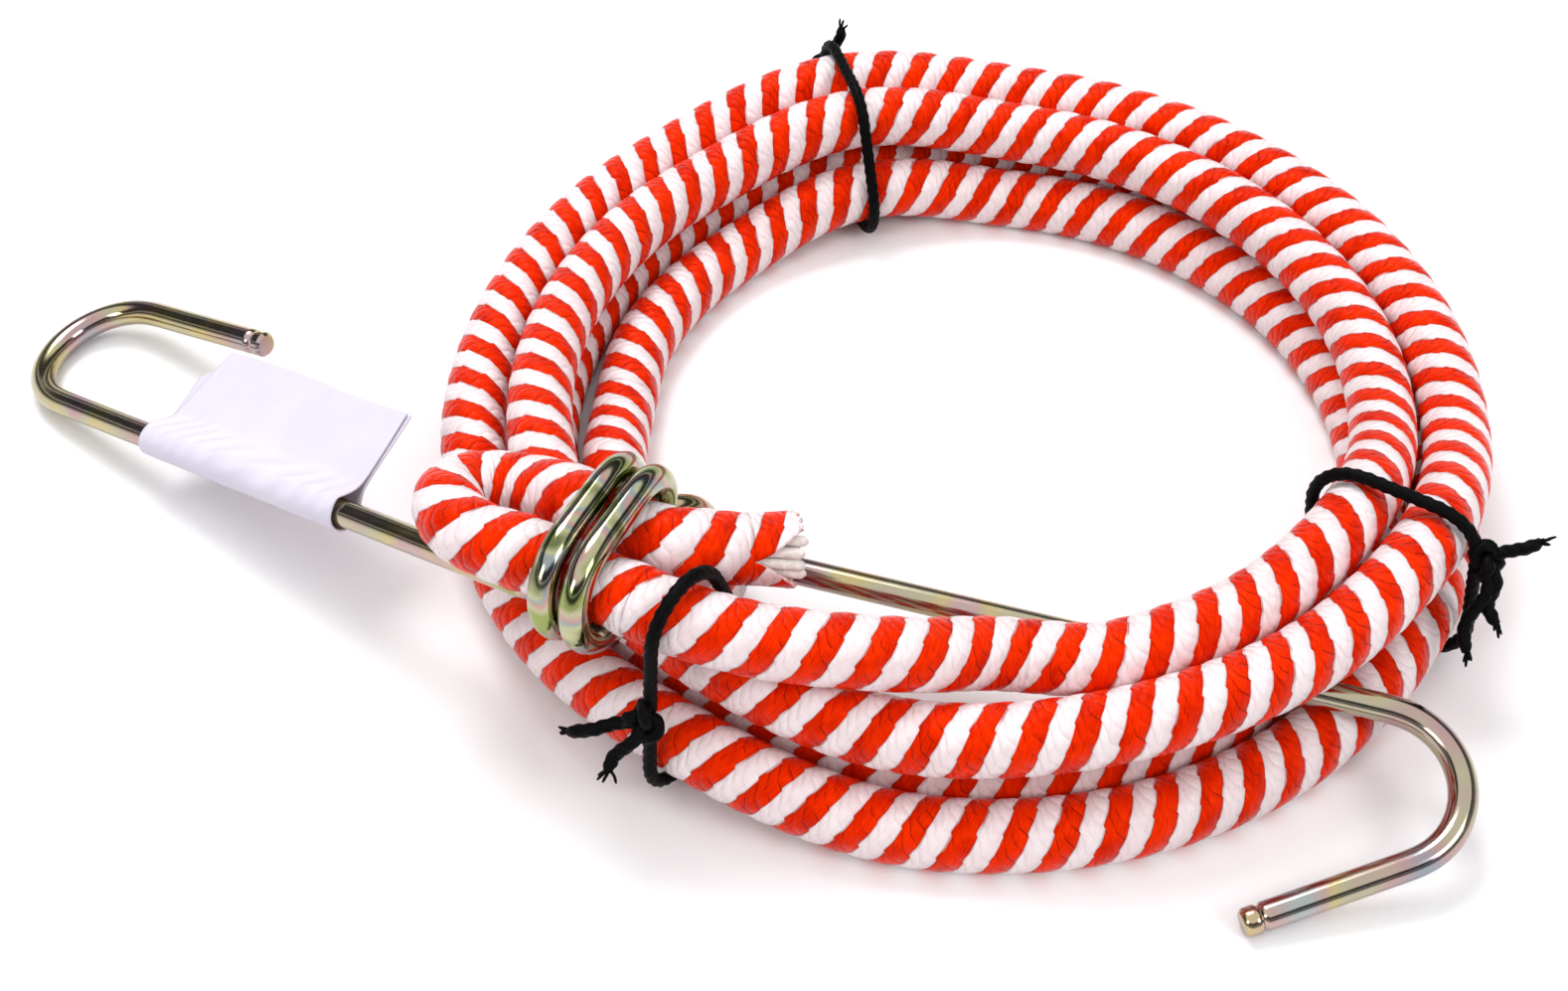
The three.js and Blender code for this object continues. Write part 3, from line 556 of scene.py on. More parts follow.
# Frayed ribbon ends: loose fibre, dull and pale, with a little red left in it.
frayed_edge, tree = new_material("frayed_ribbon_ends")
place = add_node(tree, "ShaderNodeTexCoord").outputs["Object"]
fray = add_node(tree, "ShaderNodeTexNoise", {"Vector": place, "Scale": 1 / FRAY_SIZE, "Detail": 3.0})
fray_part = add_node(tree, "ShaderNodeMapRange", {
    "Value": fray, "From Min": 0.35, "From Max": 0.6}, interpolation_type="SMOOTHSTEP")
fray_tone = add_node(tree, "ShaderNodeMix", {
    "Factor": fray_part, "A": linear(FRAY_PINK_HEX), "B": linear(FRAY_WHITE_HEX)}, data_type="RGBA")
fray_gloss = add_node(tree, "ShaderNodeMapRange", {
    "Value": fray, "From Min": 0.2, "From Max": 0.8, "To Min": 0.55, "To Max": 0.75})
fray_bump = add_node(tree, "ShaderNodeBump", {"Strength": 0.6, "Distance": 0.0003, "Height": fray})
fray_shader = add_node(tree, "ShaderNodeBsdfPrincipled", {
    "Base Color": fray_tone, "Roughness": fray_gloss, "Normal": fray_bump})
add_node(tree, "ShaderNodeOutputMaterial", {"Surface": fray_shader})

rng = np.random.default_rng(TAIL_SEED)
tail_ways = np.gradient(route[:tail_start + 2], axis=0)
tail_ways /= np.linalg.norm(tail_ways, axis=1)[:, None]
slit_angle = math.atan2(np.dot(TAIL_SLIT_FACING, rise_axes[0]), np.dot(TAIL_SLIT_FACING, side_axes[0]))
shell_points = []
shell_turns = []
for skin in (0, 1):
    for i in range(tail_start + 1):
        t = 1 - reach[i] / reach[tail_start]
        half_slit = math.radians(TAIL_SLIT_DEG) / 2 * t ** TAIL_SLIT_TAPER
        first_angle = slit_angle + half_slit
        last_angle = slit_angle + 2 * math.pi - half_slit
        for angle in np.linspace(first_angle, last_angle, TAIL_AROUND + 1):
            from_slit = min(angle - slit_angle, slit_angle + 2 * math.pi - angle)
            curl = TAIL_CURL * t * math.exp(-from_slit / TAIL_CURL_SPREAD)
            radius = CORD_RADIUS * (1 + TAIL_FLARE * t * t) + curl - skin * TAIL_WALL
            spoke = math.cos(angle) * side_axes[i] + math.sin(angle) * rise_axes[i]
            ragged = rng.uniform(*TAIL_RAGGED) if i == 0 else 0
            shell_points.append(route[i] + spoke * radius - tail_ways[i] * ragged)
            shell_turns.append((angle / (2 * math.pi), reach[i]))
row = TAIL_AROUND + 1
inner = (tail_start + 1) * row
lip = len(shell_points)
for k in range(row):
    middle = (shell_points[k] + shell_points[inner + k]) / 2
    shell_points.append(middle - tail_ways[0] * TAIL_LIP * rng.uniform(*TAIL_LIP_SPREAD))
    shell_turns.append((shell_turns[k][0], -TAIL_LIP))
skins = []
edges = []
for k in range(TAIL_AROUND):
    for i in range(tail_start):
        a = i * row + k
        b = inner + a
        skins += [(a, a + 1, a + row + 1, a + row), (b, b + row, b + row + 1, b + 1)]
    root = tail_start * row + k
    skins.append((root, root + 1, inner + root + 1, inner + root))
    edges += [(k, lip + k, lip + k + 1, k + 1), (lip + k, inner + k, inner + k + 1, lip + k + 1)]
for k in (0, TAIL_AROUND):
    edges.append((k, lip + k, inner + k))
    for i in range(tail_start):
        a = i * row + k
        edges.append((a, inner + a, inner + a + row, a + row))
tail_mesh = bpy.data.meshes.new("cord_left_tail")
tail_mesh.from_pydata([tuple(p) for p in shell_points], [], skins + edges)
tail_lay = tail_mesh.uv_layers.new(name="lay")
for corner in tail_mesh.loops:
    tail_lay.data[corner.index].uv = shell_turns[corner.vertex_index]
tail_mesh.materials.append(plaited_sheath)
tail_mesh.materials.append(frayed_edge)
for polygon in tail_mesh.polygons:
    polygon.material_index = 0 if polygon.index < len(skins) else 1
    polygon.use_smooth = True
left_tail = bpy.data.objects.new("cord_left_tail", tail_mesh)
bpy.context.collection.objects.link(left_tail)
bpy.context.view_layer.objects.active = left_tail
left_tail.select_set(True)
bpy.ops.object.mode_set(mode="EDIT")
bpy.ops.mesh.select_all(action="SELECT")
bpy.ops.mesh.normals_make_consistent(inside=False)
bpy.ops.object.mode_set(mode="OBJECT")
bpy.ops.object.select_all(action="DESELECT")
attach(left_tail, "left_end")

# Rubber strands: nineteen white latex threads that fill the sheath. They are cut with it, and spring out
# of the open tail to slightly different lengths.
STRAND_RADIUS = 0.00076
STRAND_PITCH = 0.0016
STRAND_SIDES = 12
STRAND_STEPS = 16
STRAND_RINGS = ((1, 6), (2, 12))
RING_STAGGER = 0.2
SPRING_OUT = 0.0006
SPRING_SPREAD = (-0.0012, 0.0009)
LEAN_OUT = 0.0007
LEAN_SPREAD = 0.0004
TIP_LEAST = 0.12
CHALK_SIZE = 0.0011
LATEX_SHADE_HEX = "E4DDD8"
LATEX_HEX = "F7F4F1"

# White latex: dull and slightly translucent, with traces of the chalk that keeps the threads apart.
white_latex, tree = new_material("white_latex")
place = add_node(tree, "ShaderNodeTexCoord").outputs["Object"]
chalk = add_node(tree, "ShaderNodeTexNoise", {"Vector": place, "Scale": 1 / CHALK_SIZE, "Detail": 2.0})
chalk_part = add_node(tree, "ShaderNodeMapRange", {
    "Value": chalk, "From Min": 0.3, "From Max": 0.7}, interpolation_type="SMOOTHSTEP")
latex_tone = add_node(tree, "ShaderNodeMix", {
    "Factor": chalk_part, "A": linear(LATEX_SHADE_HEX), "B": linear(LATEX_HEX)}, data_type="RGBA")
latex_gloss = add_node(tree, "ShaderNodeMapRange", {
    "Value": chalk, "From Min": 0.2, "From Max": 0.8, "To Min": 0.38, "To Max": 0.55})
latex_bump = add_node(tree, "ShaderNodeBump", {"Strength": 0.2, "Distance": 0.0002, "Height": chalk})
latex_shader = add_node(tree, "ShaderNodeBsdfPrincipled", {
    "Base Color": latex_tone, "Roughness": latex_gloss, "Normal": latex_bump,
    "Subsurface Weight": 0.2, "Subsurface Radius": (0.001, 0.0008, 0.0006), "Subsurface Scale": 0.5})
add_node(tree, "ShaderNodeOutputMaterial", {"Surface": latex_shader})


def joined(pieces, name):
    """Joins pieces into one object under a new name."""
    for piece in pieces:
        piece.select_set(True)
    bpy.context.view_layer.objects.active = pieces[0]
    bpy.ops.object.join()
    whole = bpy.context.object
    whole.name = name
    bpy.ops.object.select_all(action="DESELECT")
    return whole


seats = [(0.0, 0.0)]
for ring_number, count in STRAND_RINGS:
    for k in range(count):
        angle = 2 * math.pi * k / count + RING_STAGGER * ring_number
        off = ring_number * STRAND_PITCH
        seats.append((off * math.cos(angle), off * math.sin(angle)))
slit_way = math.cos(slit_angle) * side_axes[0] + math.sin(slit_angle) * rise_axes[0]
strands = []
for number, (x, y) in enumerate(seats):
    toward = (x * math.cos(slit_angle) + y * math.sin(slit_angle)) / (2 * STRAND_PITCH)
    span = reach[tail_start] + SPRING_OUT * (1 + toward) + rng.uniform(*SPRING_SPREAD)
    root = route[tail_start] + x * side_axes[tail_start] + y * rise_axes[tail_start]
    lean = slit_way * (LEAN_OUT + LEAN_SPREAD * toward)
    line = np.array([root - tail_ways[0] * span * t + lean * t * t for t in np.linspace(0, 1, STRAND_STEPS)])
    run = np.linspace(0, span, STRAND_STEPS)
    tip = np.clip((span - run) / STRAND_RADIUS, 0, 1)
    radii = STRAND_RADIUS * np.sqrt(np.clip(1 - (1 - tip) ** 2, TIP_LEAST, 1))
    sides, rises = cross_axes(line, side_axes[0])
    strand_radii = np.repeat(radii[:, None], STRAND_SIDES, axis=1)
    strands.append(tube_object(f"strand_{number}", line, sides, rises, strand_radii, run, STRAND_SIDES))
rubber_strands = joined(strands, "rubber_strands_left")
rubber_strands.data.materials.append(white_latex)
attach(rubber_strands, "left_end")
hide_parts("rubber_core_left_end")

# Hooks: each is one length of hard drawn steel wire, bent round a former, grooved near its tip and wound
# cold round the cord: the left one round both legs of the doubled end, the right one round the waist of its
# end. The wire is zinc plated and yellow passivated.
WIRE_STEP = 0.0005
WIRE_FACETS = 10
WIRE_SOFTEN_PASSES = 8
TIP_LAND = 0.0021
TIP_GROOVE = 0.0009
TIP_GROOVE_DEPTH = 0.00038
TIP_BEVEL = 0.0006
TIP_FACE = 0.78
CUT_BEVEL = 0.0004
CUT_FACE = 0.88
SMOOTH_DEG = 40
FILM_SIZE = 0.018
GRIP_FILM_SIZE = 0.0067
DRAW_MARK_SIZE = 0.0024
FILM_STOPS = [(0.30, "A2AAA8"), (0.40, "B79C99"), (0.47, "BDAD7C"), (0.54, "AEA890"), (0.61, "B29491"),
              (0.72, "8896A0")]
GRIP_FILM_STOPS = [(0.34, "5E6B38"), (0.43, "B4B48C"), (0.48, "8A9C9C"), (0.53, "B88F88"), (0.59, "B5AF90"),
                   (0.66, "8C9854")]
BEND_RADIUS = 0.011
BEND_STEPS = 12
WIND_PITCH = 0.0047
WIND_STEPS = 16
LEFT_TURNS = 2.25
LEFT_TURN_IN = 0.005
LEFT_EASE = 0.00125
LEFT_SHANK = 0.0995
LEFT_SHANK_HEADING = 152.3
LEFT_SHANK_FALL = 11.9
LEFT_HOOK_ROLL = -5
LEFT_FLARE = 3
LEFT_TIP_LEG = 0.026
RIGHT_CLAMP_ANGLE = 221
RIGHT_CLAMP_LOOP = 2
RIGHT_CLAMP_RISE = 0.0043
RIGHT_HEADING = -46
RIGHT_TURNS = 2
RIGHT_TURN_IN = 0.0025
RIGHT_STUB = 0.007
RIGHT_SHANK = 0.094
RIGHT_SHANK_HEADING = -9
RIGHT_SHANK_FALL = 1.2
RIGHT_HOOK_ROLL = 19
RIGHT_FLARE = 34
RIGHT_TIP_LEG = 0.024

# Yellow passivated zinc: bright metal under a thin film, which drifts between straw, rose and steel blue
# along the wire. Bending works the film, so it is greener and changes faster on the left winding.
yellow_zinc, tree = new_material("yellow_passivated_zinc")
place = add_node(tree, "ShaderNodeTexCoord").outputs["Object"]
drift = add_node(tree, "ShaderNodeTexNoise", {"Vector": place, "Scale": 1 / FILM_SIZE, "Detail": 2.0})
film = add_node(tree, "ShaderNodeValToRGB", {0: drift}, stops=FILM_STOPS)
grip_drift = add_node(tree, "ShaderNodeTexNoise", {
    "Vector": place, "Scale": 1 / GRIP_FILM_SIZE, "Detail": 1.0})
grip_film = add_node(tree, "ShaderNodeValToRGB", {0: grip_drift}, stops=GRIP_FILM_STOPS)
from_winding = add_node(tree, "ShaderNodeVectorMath", {0: place, 1: tuple(left_clamp)}, operation="DISTANCE")
on_winding = add_node(tree, "ShaderNodeMapRange", {
    "Value": from_winding.outputs["Value"], "From Min": 0.014, "From Max": 0.022,
    "To Min": 0.9, "To Max": 0.0}, interpolation_type="SMOOTHSTEP")
zinc_tone = add_node(tree, "ShaderNodeMix", {
    "Factor": on_winding, "A": film, "B": grip_film}, data_type="RGBA")
draw_marks = add_node(tree, "ShaderNodeTexNoise", {
    "Vector": place, "Scale": 1 / DRAW_MARK_SIZE, "Detail": 3.0})
polish = add_node(tree, "ShaderNodeMapRange", {"Value": draw_marks, "To Min": 0.08, "To Max": 0.20})
scuffs = add_node(tree, "ShaderNodeBump", {"Strength": 0.12, "Distance": 0.0001, "Height": draw_marks})
zinc_shader = add_node(tree, "ShaderNodeBsdfPrincipled", {
    "Base Color": zinc_tone, "Metallic": 1.0, "Roughness": polish, "Normal": scuffs})
add_node(tree, "ShaderNodeOutputMaterial", {"Surface": zinc_shader})


def across_way(way, roll):
    """A unit way square to another: level, then rolled about it."""
    level = np.cross(way, UP)
    level /= np.linalg.norm(level)
    return level * math.cos(math.radians(roll)) + np.cross(way, level) * math.sin(math.radians(roll))


def hook_route(shank_end, way, roll, shank, flare, leg):
    """The wire's middle from a hook's tip, round its bend, to the end of its shank at the winding."""
    across = across_way(way, roll)
    centre = shank_end + way * shank + across * BEND_RADIUS
    sweep = math.radians(180 - flare)
    bend = []
    for angle in np.linspace(sweep, 0, BEND_STEPS + 1):
        bend.append(centre + BEND_RADIUS * (way * math.sin(angle) - across * math.cos(angle)))
    tip = bend[0] + leg * (way * math.cos(sweep) + across * math.sin(sweep))
    return [tip, *bend, shank_end]


def left_point(along, near, rise):
    """A place by the left winding: along the doubled cord, towards its near leg, and up."""
    return left_clamp + left_axis * along + heading(LEFT_HEADING + 90) * near + UP * rise


def left_winding(wound):
    """The left wire's middle at a length wound, flat across two legs and round the outside of each."""
    along = left_wind_start - WIND_PITCH * wound / (2 * half_wind)
    side = -1 if wound % (2 * half_wind) >= half_wind else 1
    run = wound % half_wind
    if run < 2 * leg_offset:
        return left_point(along, side * (leg_offset - run), -side * wind_radius)
    angle = (run - 2 * leg_offset) / wind_radius
    outside = leg_offset + wind_radius * math.sin(angle)
    return left_point(along, -side * outside, -side * wind_radius * math.cos(angle))


def wire_hook(name, points):
    """A hook as a bevelled curve made a mesh, with its groove and bevelled face at the tip."""
    path = soften(even_route(points, WIRE_STEP), WIRE_SOFTEN_PASSES)
    run = run_along(path)
    tip_part = np.clip(run / TIP_BEVEL, 0, 1)
    tip = TIP_FACE + (1 - TIP_FACE) * np.sqrt(1 - (1 - tip_part) ** 2)
    cut = CUT_FACE + (1 - CUT_FACE) * np.clip((run[-1] - run) / CUT_BEVEL, 0, 1)
    in_groove = (run > TIP_LAND) & (run < TIP_LAND + TIP_GROOVE)
    scale = tip * cut * np.where(in_groove, 1 - TIP_GROOVE_DEPTH / WIRE_RADIUS, 1)
    bpy.ops.curve.primitive_nurbs_path_add()
    curve = bpy.context.object
    curve.name = name
    curve.data.splines.clear()
    spline = curve.data.splines.new("POLY")
    spline.points.add(len(path) - 1)
    spline.points.foreach_set("co", np.column_stack([path, np.ones(len(path))]).ravel())
    spline.points.foreach_set("radius", scale)
    curve.data.bevel_depth = WIRE_RADIUS
    curve.data.bevel_resolution = WIRE_FACETS
    curve.data.use_fill_caps = True
    curve.data.twist_mode = "MINIMUM"
    bpy.ops.object.convert(target="MESH")
    bpy.ops.object.shade_smooth_by_angle(angle=math.radians(SMOOTH_DEG))
    piece = bpy.context.object
    bpy.ops.object.select_all(action="DESELECT")
    piece.data.materials.clear()
    piece.data.materials.append(yellow_zinc)
    return piece


left_wind_start = WIND_PITCH * LEFT_TURNS / 2
half_wind = 2 * leg_offset + math.pi * wind_radius
wind_step = 2 * math.pi * wind_radius / WIND_STEPS
left_way = heading(LEFT_SHANK_HEADING, LEFT_SHANK_FALL)
left_shank_end = left_point(left_wind_start + LEFT_TURN_IN, leg_offset, -wind_radius)
left_wire = hook_route(left_shank_end, left_way, LEFT_HOOK_ROLL, LEFT_SHANK, LEFT_FLARE, LEFT_TIP_LEG)
left_wire.append(left_point(left_wind_start + LEFT_EASE, leg_offset - LEFT_EASE, -wind_radius))
left_wire += [left_winding(d) for d in np.arange(LEFT_TURN_IN, 2 * half_wind * LEFT_TURNS, wind_step)]
left_hook = wire_hook("left_hook_wire", left_wire)
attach(left_hook, "left_end")
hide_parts("hook_left")

right_grip = CORD_DIAMETER / 2 - RIGHT_WAIST_DEPTH + SEAT_GAP + WIRE_RADIUS
right_loop = crossings(RIGHT_CLAMP_ANGLE)[RIGHT_CLAMP_LOOP]
right_clamp_radius = ring_radius(right_loop) - CORD_DIAMETER / 2 - right_grip - WIRE_RADIUS
right_clamp = by_ring(RIGHT_CLAMP_ANGLE, right_clamp_radius, LOWER_HEIGHT + RIGHT_CLAMP_RISE)
right_outer = heading(RIGHT_HEADING - 90)
right_turns = []
for i in range(RIGHT_TURNS * WIND_STEPS + 1):
    angle = 2 * math.pi * i / WIND_STEPS
    centre = right_clamp + heading(RIGHT_HEADING) * WIND_PITCH * (RIGHT_TURNS / 2 - i / WIND_STEPS)
    right_turns.append(centre + right_grip * (UP * math.cos(angle) + right_outer * math.sin(angle)))
right_way = heading(RIGHT_SHANK_HEADING, RIGHT_SHANK_FALL)
right_shank_end = right_turns[0] + right_way * RIGHT_TURN_IN
right_wire = hook_route(right_shank_end, right_way, RIGHT_HOOK_ROLL, RIGHT_SHANK, RIGHT_FLARE, RIGHT_TIP_LEG)
right_wire += [*right_turns, right_turns[-1] + right_outer * RIGHT_STUB]
right_hook = wire_hook("right_hook_wire", right_wire)
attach(right_hook, "right_end")
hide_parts("hook_right")

# Ties: waxed black twine laid up from three plies. Each goes once round all the strands of the ring and is
# knotted outside it, with cut tails whose fibres have opened. The front tie goes round the left neck too, so
# its top is dragged along when the left hook is pulled.
TWINE_RADIUS = 0.001
TWINE_PLIES = 3
TWINE_LAY = 0.005
TWINE_SIDES = 12
TWINE_STEP = 0.0004
PLY_RELIEF = 0.08
END_TAPER = 0.4
FIBRE_RADIUS = 0.00022
FIBRES = 6
FIBRE_SPREAD = 0.0003
FIBRE_LENGTH = 0.0009
KNOT_WIDTH = 0.0008
KNOT_HEIGHT = 0.0010
KNOT_STATIONS = 48
TAIL_KINK = (0.0012, -0.0008, 0.0009)
KINK_PLACES = (0.35, 0.7)
LOOP_PASSES = 6
KNOT_PASSES = 4
TAIL_PASSES = 30
FIBRE_PASSES = 2
FIBRE_ROOT = 0.94
FIBRE_KNEE = 1.02
FIBRE_FAN = 1.7
OFF_AXIS = (0.3, 0.2, 0.9)
FUZZ_SIZE = 0.00067
BLACK_HEX = "020203"
BLACK_FUZZ_HEX = "09090A"
TIE_GAP = 0.0006
NECK_ASKEW = 0.0005
KNOT_OUT = 0.0015
BAND_SIDES = 16
BAND_STEP = 0.007
LEAST_TURN = 1e-12
TIES = [
    ("back_tie", "tie_back", 12, [(0.0030, 0.0015, 0.0080), (-0.0080, -0.0010, -0.0040)]),
    ("right_tie", "tie_right", 22,
     [(0.0066, 0.0012, 0.0034), (-0.0012, -0.0085, -0.0098), (0.0022, -0.0062, -0.0060)]),
    ("front_tie", "tie_front", 4, [(-0.0100, -0.0004, -0.0034), (-0.0040, -0.0050, -0.0050)]),
]

# Waxed twine: near black, with a dull gleam where the wax is thick and a fuzz of short fibres. The fibres
# are drawn coarser than the real ones, which are too fine to show.
waxed_twine, tree = new_material("waxed_black_twine")
place = add_node(tree, "ShaderNodeTexCoord").outputs["Object"]
fuzz = add_node(tree, "ShaderNodeTexNoise", {"Vector": place, "Scale": 1 / FUZZ_SIZE, "Detail": 3.0})
twine_tone = add_node(tree, "ShaderNodeMix", {
    "Factor": fuzz, "A": linear(BLACK_HEX), "B": linear(BLACK_FUZZ_HEX)}, data_type="RGBA")
wax_gloss = add_node(tree, "ShaderNodeMapRange", {"Value": fuzz, "To Min": 0.38, "To Max": 0.62})
fuzz_bump = add_node(tree, "ShaderNodeBump", {"Strength": 0.4, "Distance": 0.0002, "Height": fuzz})
twine_shader = add_node(tree, "ShaderNodeBsdfPrincipled", {
    "Base Color": twine_tone, "Roughness": wax_gloss, "Normal": fuzz_bump,
    "Specular IOR Level": 0.3, "IOR": 1.2})
add_node(tree, "ShaderNodeOutputMaterial", {"Surface": twine_shader})


def twine(name, points, passes, radius=TWINE_RADIUS):
    """A length of three-ply twine along a route."""
    path = soften(even_route(points, TWINE_STEP), passes)
    run = run_along(path)
    first_side = np.cross(path[1] - path[0], OFF_AXIS)
    sides, rises = cross_axes(path, first_side)
    turns = np.arange(TWINE_SIDES) / TWINE_SIDES
    plies = np.cos(2 * np.pi * TWINE_PLIES * (turns[None, :] - run[:, None] / TWINE_LAY))
    radii = radius * (1 - PLY_RELIEF + PLY_RELIEF * plies)
    from_end = np.minimum(run, run[-1] - run) / radius
    radii = radii * np.clip(1 - END_TAPER + END_TAPER * from_end, 0, 1)[:, None]
    piece = tube_object(name, path, sides, rises, radii, run, TWINE_SIDES)
    piece.data.materials.append(waxed_twine)
    return piece


def tight_band(circles):
    """The outline of a band drawn tight round circles, each (x, y, radius), in short steps."""
    turns = 2 * np.pi * np.arange(BAND_SIDES) / BAND_SIDES
    spots = sorted((x + r * math.cos(t), y + r * math.sin(t)) for x, y, r in circles for t in turns)
    corners = []
    for order in (spots, spots[::-1]):
        chain = []
        for x, y in order:
            while len(chain) > 1:
                (ax, ay), (bx, by) = chain[-2:]
                if (bx - ax) * (y - by) - (by - ay) * (x - bx) > LEAST_TURN:
                    break
                chain.pop()
            chain.append((x, y))
        corners += chain[:-1]
    band = []
    for here, onward in zip(corners, corners[1:] + corners[:1]):
        parts = math.ceil(math.dist(here, onward) / BAND_STEP)
        band += [np.array(here) + (np.array(onward) - here) * k / parts for k in range(parts)]
    return np.array(band)


tie_reach = CORD_DIAMETER / 2 + TIE_GAP + TWINE_RADIUS
for (tie_name, tie_node, knot_turn, tails), tie_angle in zip(TIES, TIE_ANGLES):
    circles = [(ring_radius(loop), ring_point(loop)[2], tie_reach) for loop in crossings(tie_angle)]
    if tie_name == "front_tie":
        neck = np.array(LEFT_NECK_ROUTE) - (*RING_CENTRE, 0)
        past = np.degrees(np.arctan2(neck[:, 1], neck[:, 0])) % 360 - tie_angle
        neck_radius = np.interp(0, past, np.hypot(neck[:, 0], neck[:, 1]))
        circles.append((neck_radius, np.interp(0, past, neck[:, 2]), tie_reach + NECK_ASKEW))
    band = tight_band(circles)
    spokes = band - band.mean(axis=0)
    spokes /= np.linalg.norm(spokes, axis=1)[:, None]
    knot_spot = np.argmax(spokes @ (math.cos(math.radians(knot_turn)), math.sin(math.radians(knot_turn))))
    loop = [by_ring(tie_angle, x, y) for x, y in band]
    outward = heading(tie_angle) * spokes[knot_spot, 0] + UP * spokes[knot_spot, 1]
    knot = loop[knot_spot] + outward * KNOT_OUT
    first = int(np.argmin([np.linalg.norm(knot - p) for p in loop]))
    closed = loop[first:] + loop[:first + 1]
    lengths = [twine(f"{tie_name}_loop", closed, LOOP_PASSES)]
    across = np.cross(outward, np.array(loop[1]) - np.array(loop[0]))
    across /= np.linalg.norm(across)
    upward = np.cross(across, outward)
    crossing = []
    for i in range(KNOT_STATIONS + 1):
        t = 2 * math.pi * i / KNOT_STATIONS
        flat = (math.sin(t) + 2 * math.sin(2 * t)) * across + (math.cos(t) - 2 * math.cos(2 * t)) * upward
        crossing.append(knot + KNOT_WIDTH * flat - KNOT_HEIGHT * math.sin(3 * t) * outward)
    lengths.append(twine(f"{tie_name}_knot", crossing, KNOT_PASSES))
    for number, tail in enumerate(tails):
        tail = np.array(tail)
        kink = np.array(TAIL_KINK) * (1 if number else -1)
        bent = [knot, knot + KINK_PLACES[0] * tail + kink, knot + KINK_PLACES[1] * tail - kink, knot + tail]
        lengths.append(twine(f"{tie_name}_tail_{number}", bent, TAIL_PASSES))
        onward = tail / np.linalg.norm(tail) * FIBRE_LENGTH
        for fibre in range(FIBRES):
            spread = rng.normal(0, FIBRE_SPREAD, 3)
            tip = knot + tail * FIBRE_KNEE
            fan = [knot + tail * FIBRE_ROOT, tip + spread, tip + onward + FIBRE_FAN * spread]
            lengths.append(twine(f"{tie_name}_fibre_{number}_{fibre}", fan, FIBRE_PASSES, FIBRE_RADIUS))
    tie = joined(lengths, tie_name)
    if tie_name == "front_tie":
        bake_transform(tie)
    else:
        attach(tie, "ring")
    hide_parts(tie_node)

# Label: a strip of thin white paper, folded over the shank of the left hook and pasted to itself. It can
# turn on the wire. The paper is creased along the fold, and its back leaf has lost a corner.
LABEL_LENGTH = 0.042
LABEL_FROM_BEND = 0.023
LABEL_LEAN = 20
FLAG_HEIGHT = 0.0150
FOLD_RADIUS = 0.0026
LEAF_GAP = 0.00025
PAPER_THICKNESS = 0.00022
PASTE_START = 0.0030
CORNER_CUT = 0.0060
CORNER_DEPTH = 0.30
FRONT_SLANT = 0.0040
BACK_SLANT = 0.0005
EDGE_WAVE = 0.00027
FOLD_CREASE = 0.00055
CREASE_PLACE = 0.0055
CREASE_SPREAD = 0.0035
CRUMPLE = 0.00012
CRUMPLE_WAVES = 9
CRUMPLE_SEED = 7
CRUMPLE_RANGES = ((20, 160), (40, 300), (0, 6.3), (0.2, 1))
CRUMPLE_START = 0.004
PINCH_ALONG = 700
PINCH_ACROSS = 620
PINCH_WANDER = 2
PINCH_WANDER_ALONG = 170
EDGE_WAVE_ALONG = 150
EDGE_WAVE_SHIFT = 0.4
CURL_ALONG = 75
CURL_SHIFT = 0.9
GRID_ALONG = 110
GRID_AROUND = 140
CURL = 0.0004
FOLD_PATCH_SIZE = 0.009
PULP_SIZE = 0.00071
PAPER_DENT_SHADE_HEX = "D3CDE0"
PAPER_HEX = "E2DDEB"

# Thin white paper: smooth and slightly lilac, with soft dents from handling and a fine grain of pulp. The
# colour is painted darker where the dents sink, as painted shade. The grain is drawn coarser than the real
# one, so that it shows.
white_paper, tree = new_material("thin_white_paper")
place = add_node(tree, "ShaderNodeTexCoord").outputs["Object"]
dents = add_node(tree, "ShaderNodeTexNoise", {"Vector": place, "Scale": 1 / FOLD_PATCH_SIZE, "Detail": 4.0})
pulp = add_node(tree, "ShaderNodeTexNoise", {"Vector": place, "Scale": 1 / PULP_SIZE, "Detail": 2.0})
# Painted shade: the darker lilac follows the low parts of the dent bumps.
paper_tone_and_dent_shade = add_node(tree, "ShaderNodeMix", {
    "Factor": dents, "A": linear(PAPER_DENT_SHADE_HEX), "B": linear(PAPER_HEX)}, data_type="RGBA")
paper_gloss = add_node(tree, "ShaderNodeMapRange", {"Value": pulp, "To Min": 0.45, "To Max": 0.65})
paper_height = add_node(tree, "ShaderNodeMath", {0: pulp, 1: 0.15, 2: dents}, operation="MULTIPLY_ADD")
paper_bump = add_node(tree, "ShaderNodeBump", {"Strength": 0.35, "Distance": 0.0006, "Height": paper_height})
paper_shader = add_node(tree, "ShaderNodeBsdfPrincipled", {
    "Base Color": paper_tone_and_dent_shade, "Roughness": paper_gloss, "Normal": paper_bump})
add_node(tree, "ShaderNodeOutputMaterial", {"Surface": paper_shader})

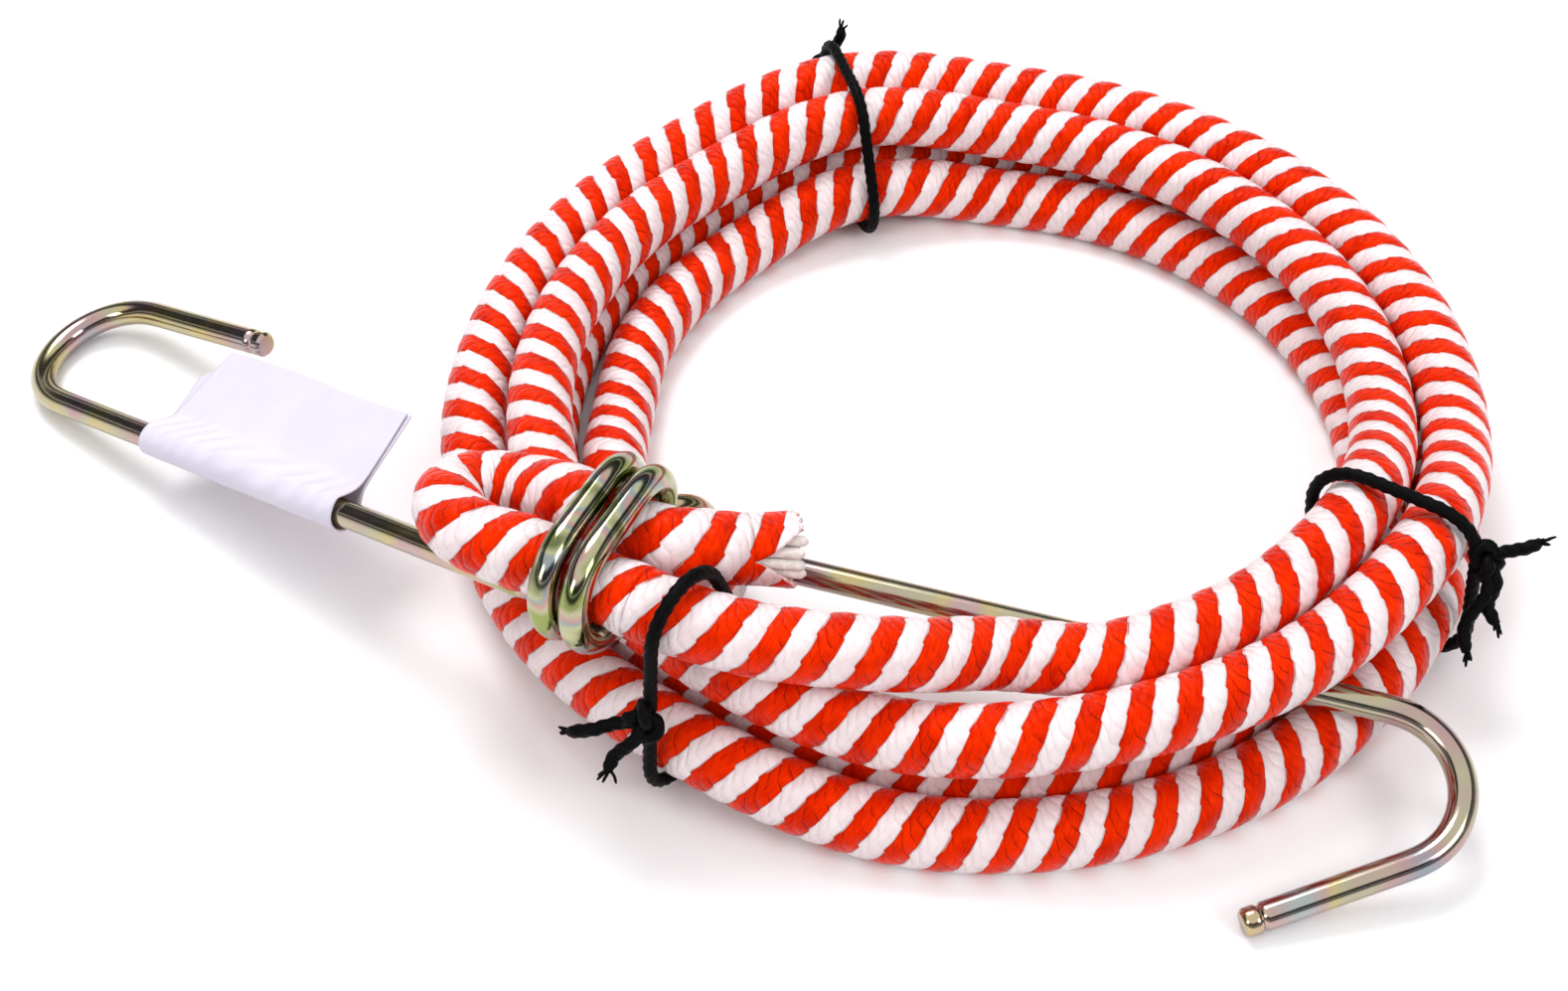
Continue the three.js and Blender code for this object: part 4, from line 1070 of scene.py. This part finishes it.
bpy.ops.mesh.primitive_grid_add(x_subdivisions=GRID_ALONG, y_subdivisions=GRID_AROUND, size=1)
label = bpy.context.object
label.name = "paper_label"
rng = np.random.default_rng(CRUMPLE_SEED)
waves = [[rng.uniform(*ends) for ends in CRUMPLE_RANGES] for _ in range(CRUMPLE_WAVES)]
label_start = left_shank_end + left_way * (LEFT_SHANK - LABEL_FROM_BEND - LABEL_LENGTH)
flag = across_way(left_way, -LABEL_LEAN)
face = np.cross(left_way, flag)
half_turn = 0.5 * math.pi * FOLD_RADIUS
leaf_run = half_turn + FOLD_RADIUS + FLAG_HEIGHT
for vertex in label.data.vertices:
    x = (vertex.co.x + 0.5) * LABEL_LENGTH
    front = vertex.co.y < 0
    d = abs(vertex.co.y) * 2 * leaf_run
    if d < half_turn:
        out = -FOLD_RADIUS * math.cos(d / FOLD_RADIUS)
        off = FOLD_RADIUS * math.sin(d / FOLD_RADIUS)
    else:
        out = d - half_turn
        t = min(out / (FOLD_RADIUS + PASTE_START), 1)
        off = FOLD_RADIUS + (LEAF_GAP - FOLD_RADIUS) * t * t * (3 - 2 * t)
    far = min(max(out / (FOLD_RADIUS + FLAG_HEIGHT), 0), 1)
    if front:
        along_shank = x - FRONT_SLANT * far * (x / LABEL_LENGTH)
    else:
        along_shank = x - BACK_SLANT * far
        near_corner = max(x - (LABEL_LENGTH - CORNER_CUT), 0) / CORNER_CUT
        out *= 1 - CORNER_DEPTH * near_corner * far
    crumple = sum(a * math.sin(f * x + g * out + h) for f, g, h, a in waves)
    out -= EDGE_WAVE * far * (1 + math.sin(EDGE_WAVE_ALONG * x + EDGE_WAVE_SHIFT))
    near_fold = math.exp(-((d - CREASE_PLACE) / CREASE_SPREAD) ** 2)
    wander = PINCH_WANDER * math.sin(PINCH_WANDER_ALONG * x)
    pinch = FOLD_CREASE * near_fold * (1 - abs(math.sin(PINCH_ALONG * x + PINCH_ACROSS * d + wander)))
    dented = CRUMPLE * crumple * min(d / CRUMPLE_START, 1)
    curl = CURL * far * far * math.sin(CURL_ALONG * x + CURL_SHIFT)
    lifted = off + pinch if front else -off - pinch
    vertex.co = label_start + left_way * along_shank + flag * out - face * (lifted + dented + curl)
solid_paper = label.modifiers.new("thickness", "SOLIDIFY")
solid_paper.thickness = PAPER_THICKNESS
solid_paper.offset = 0
bpy.ops.object.modifier_apply(modifier="thickness")
bpy.ops.object.shade_smooth()
bpy.ops.object.select_all(action="DESELECT")
label.data.materials.append(white_paper)
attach(label, "label")
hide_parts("label")
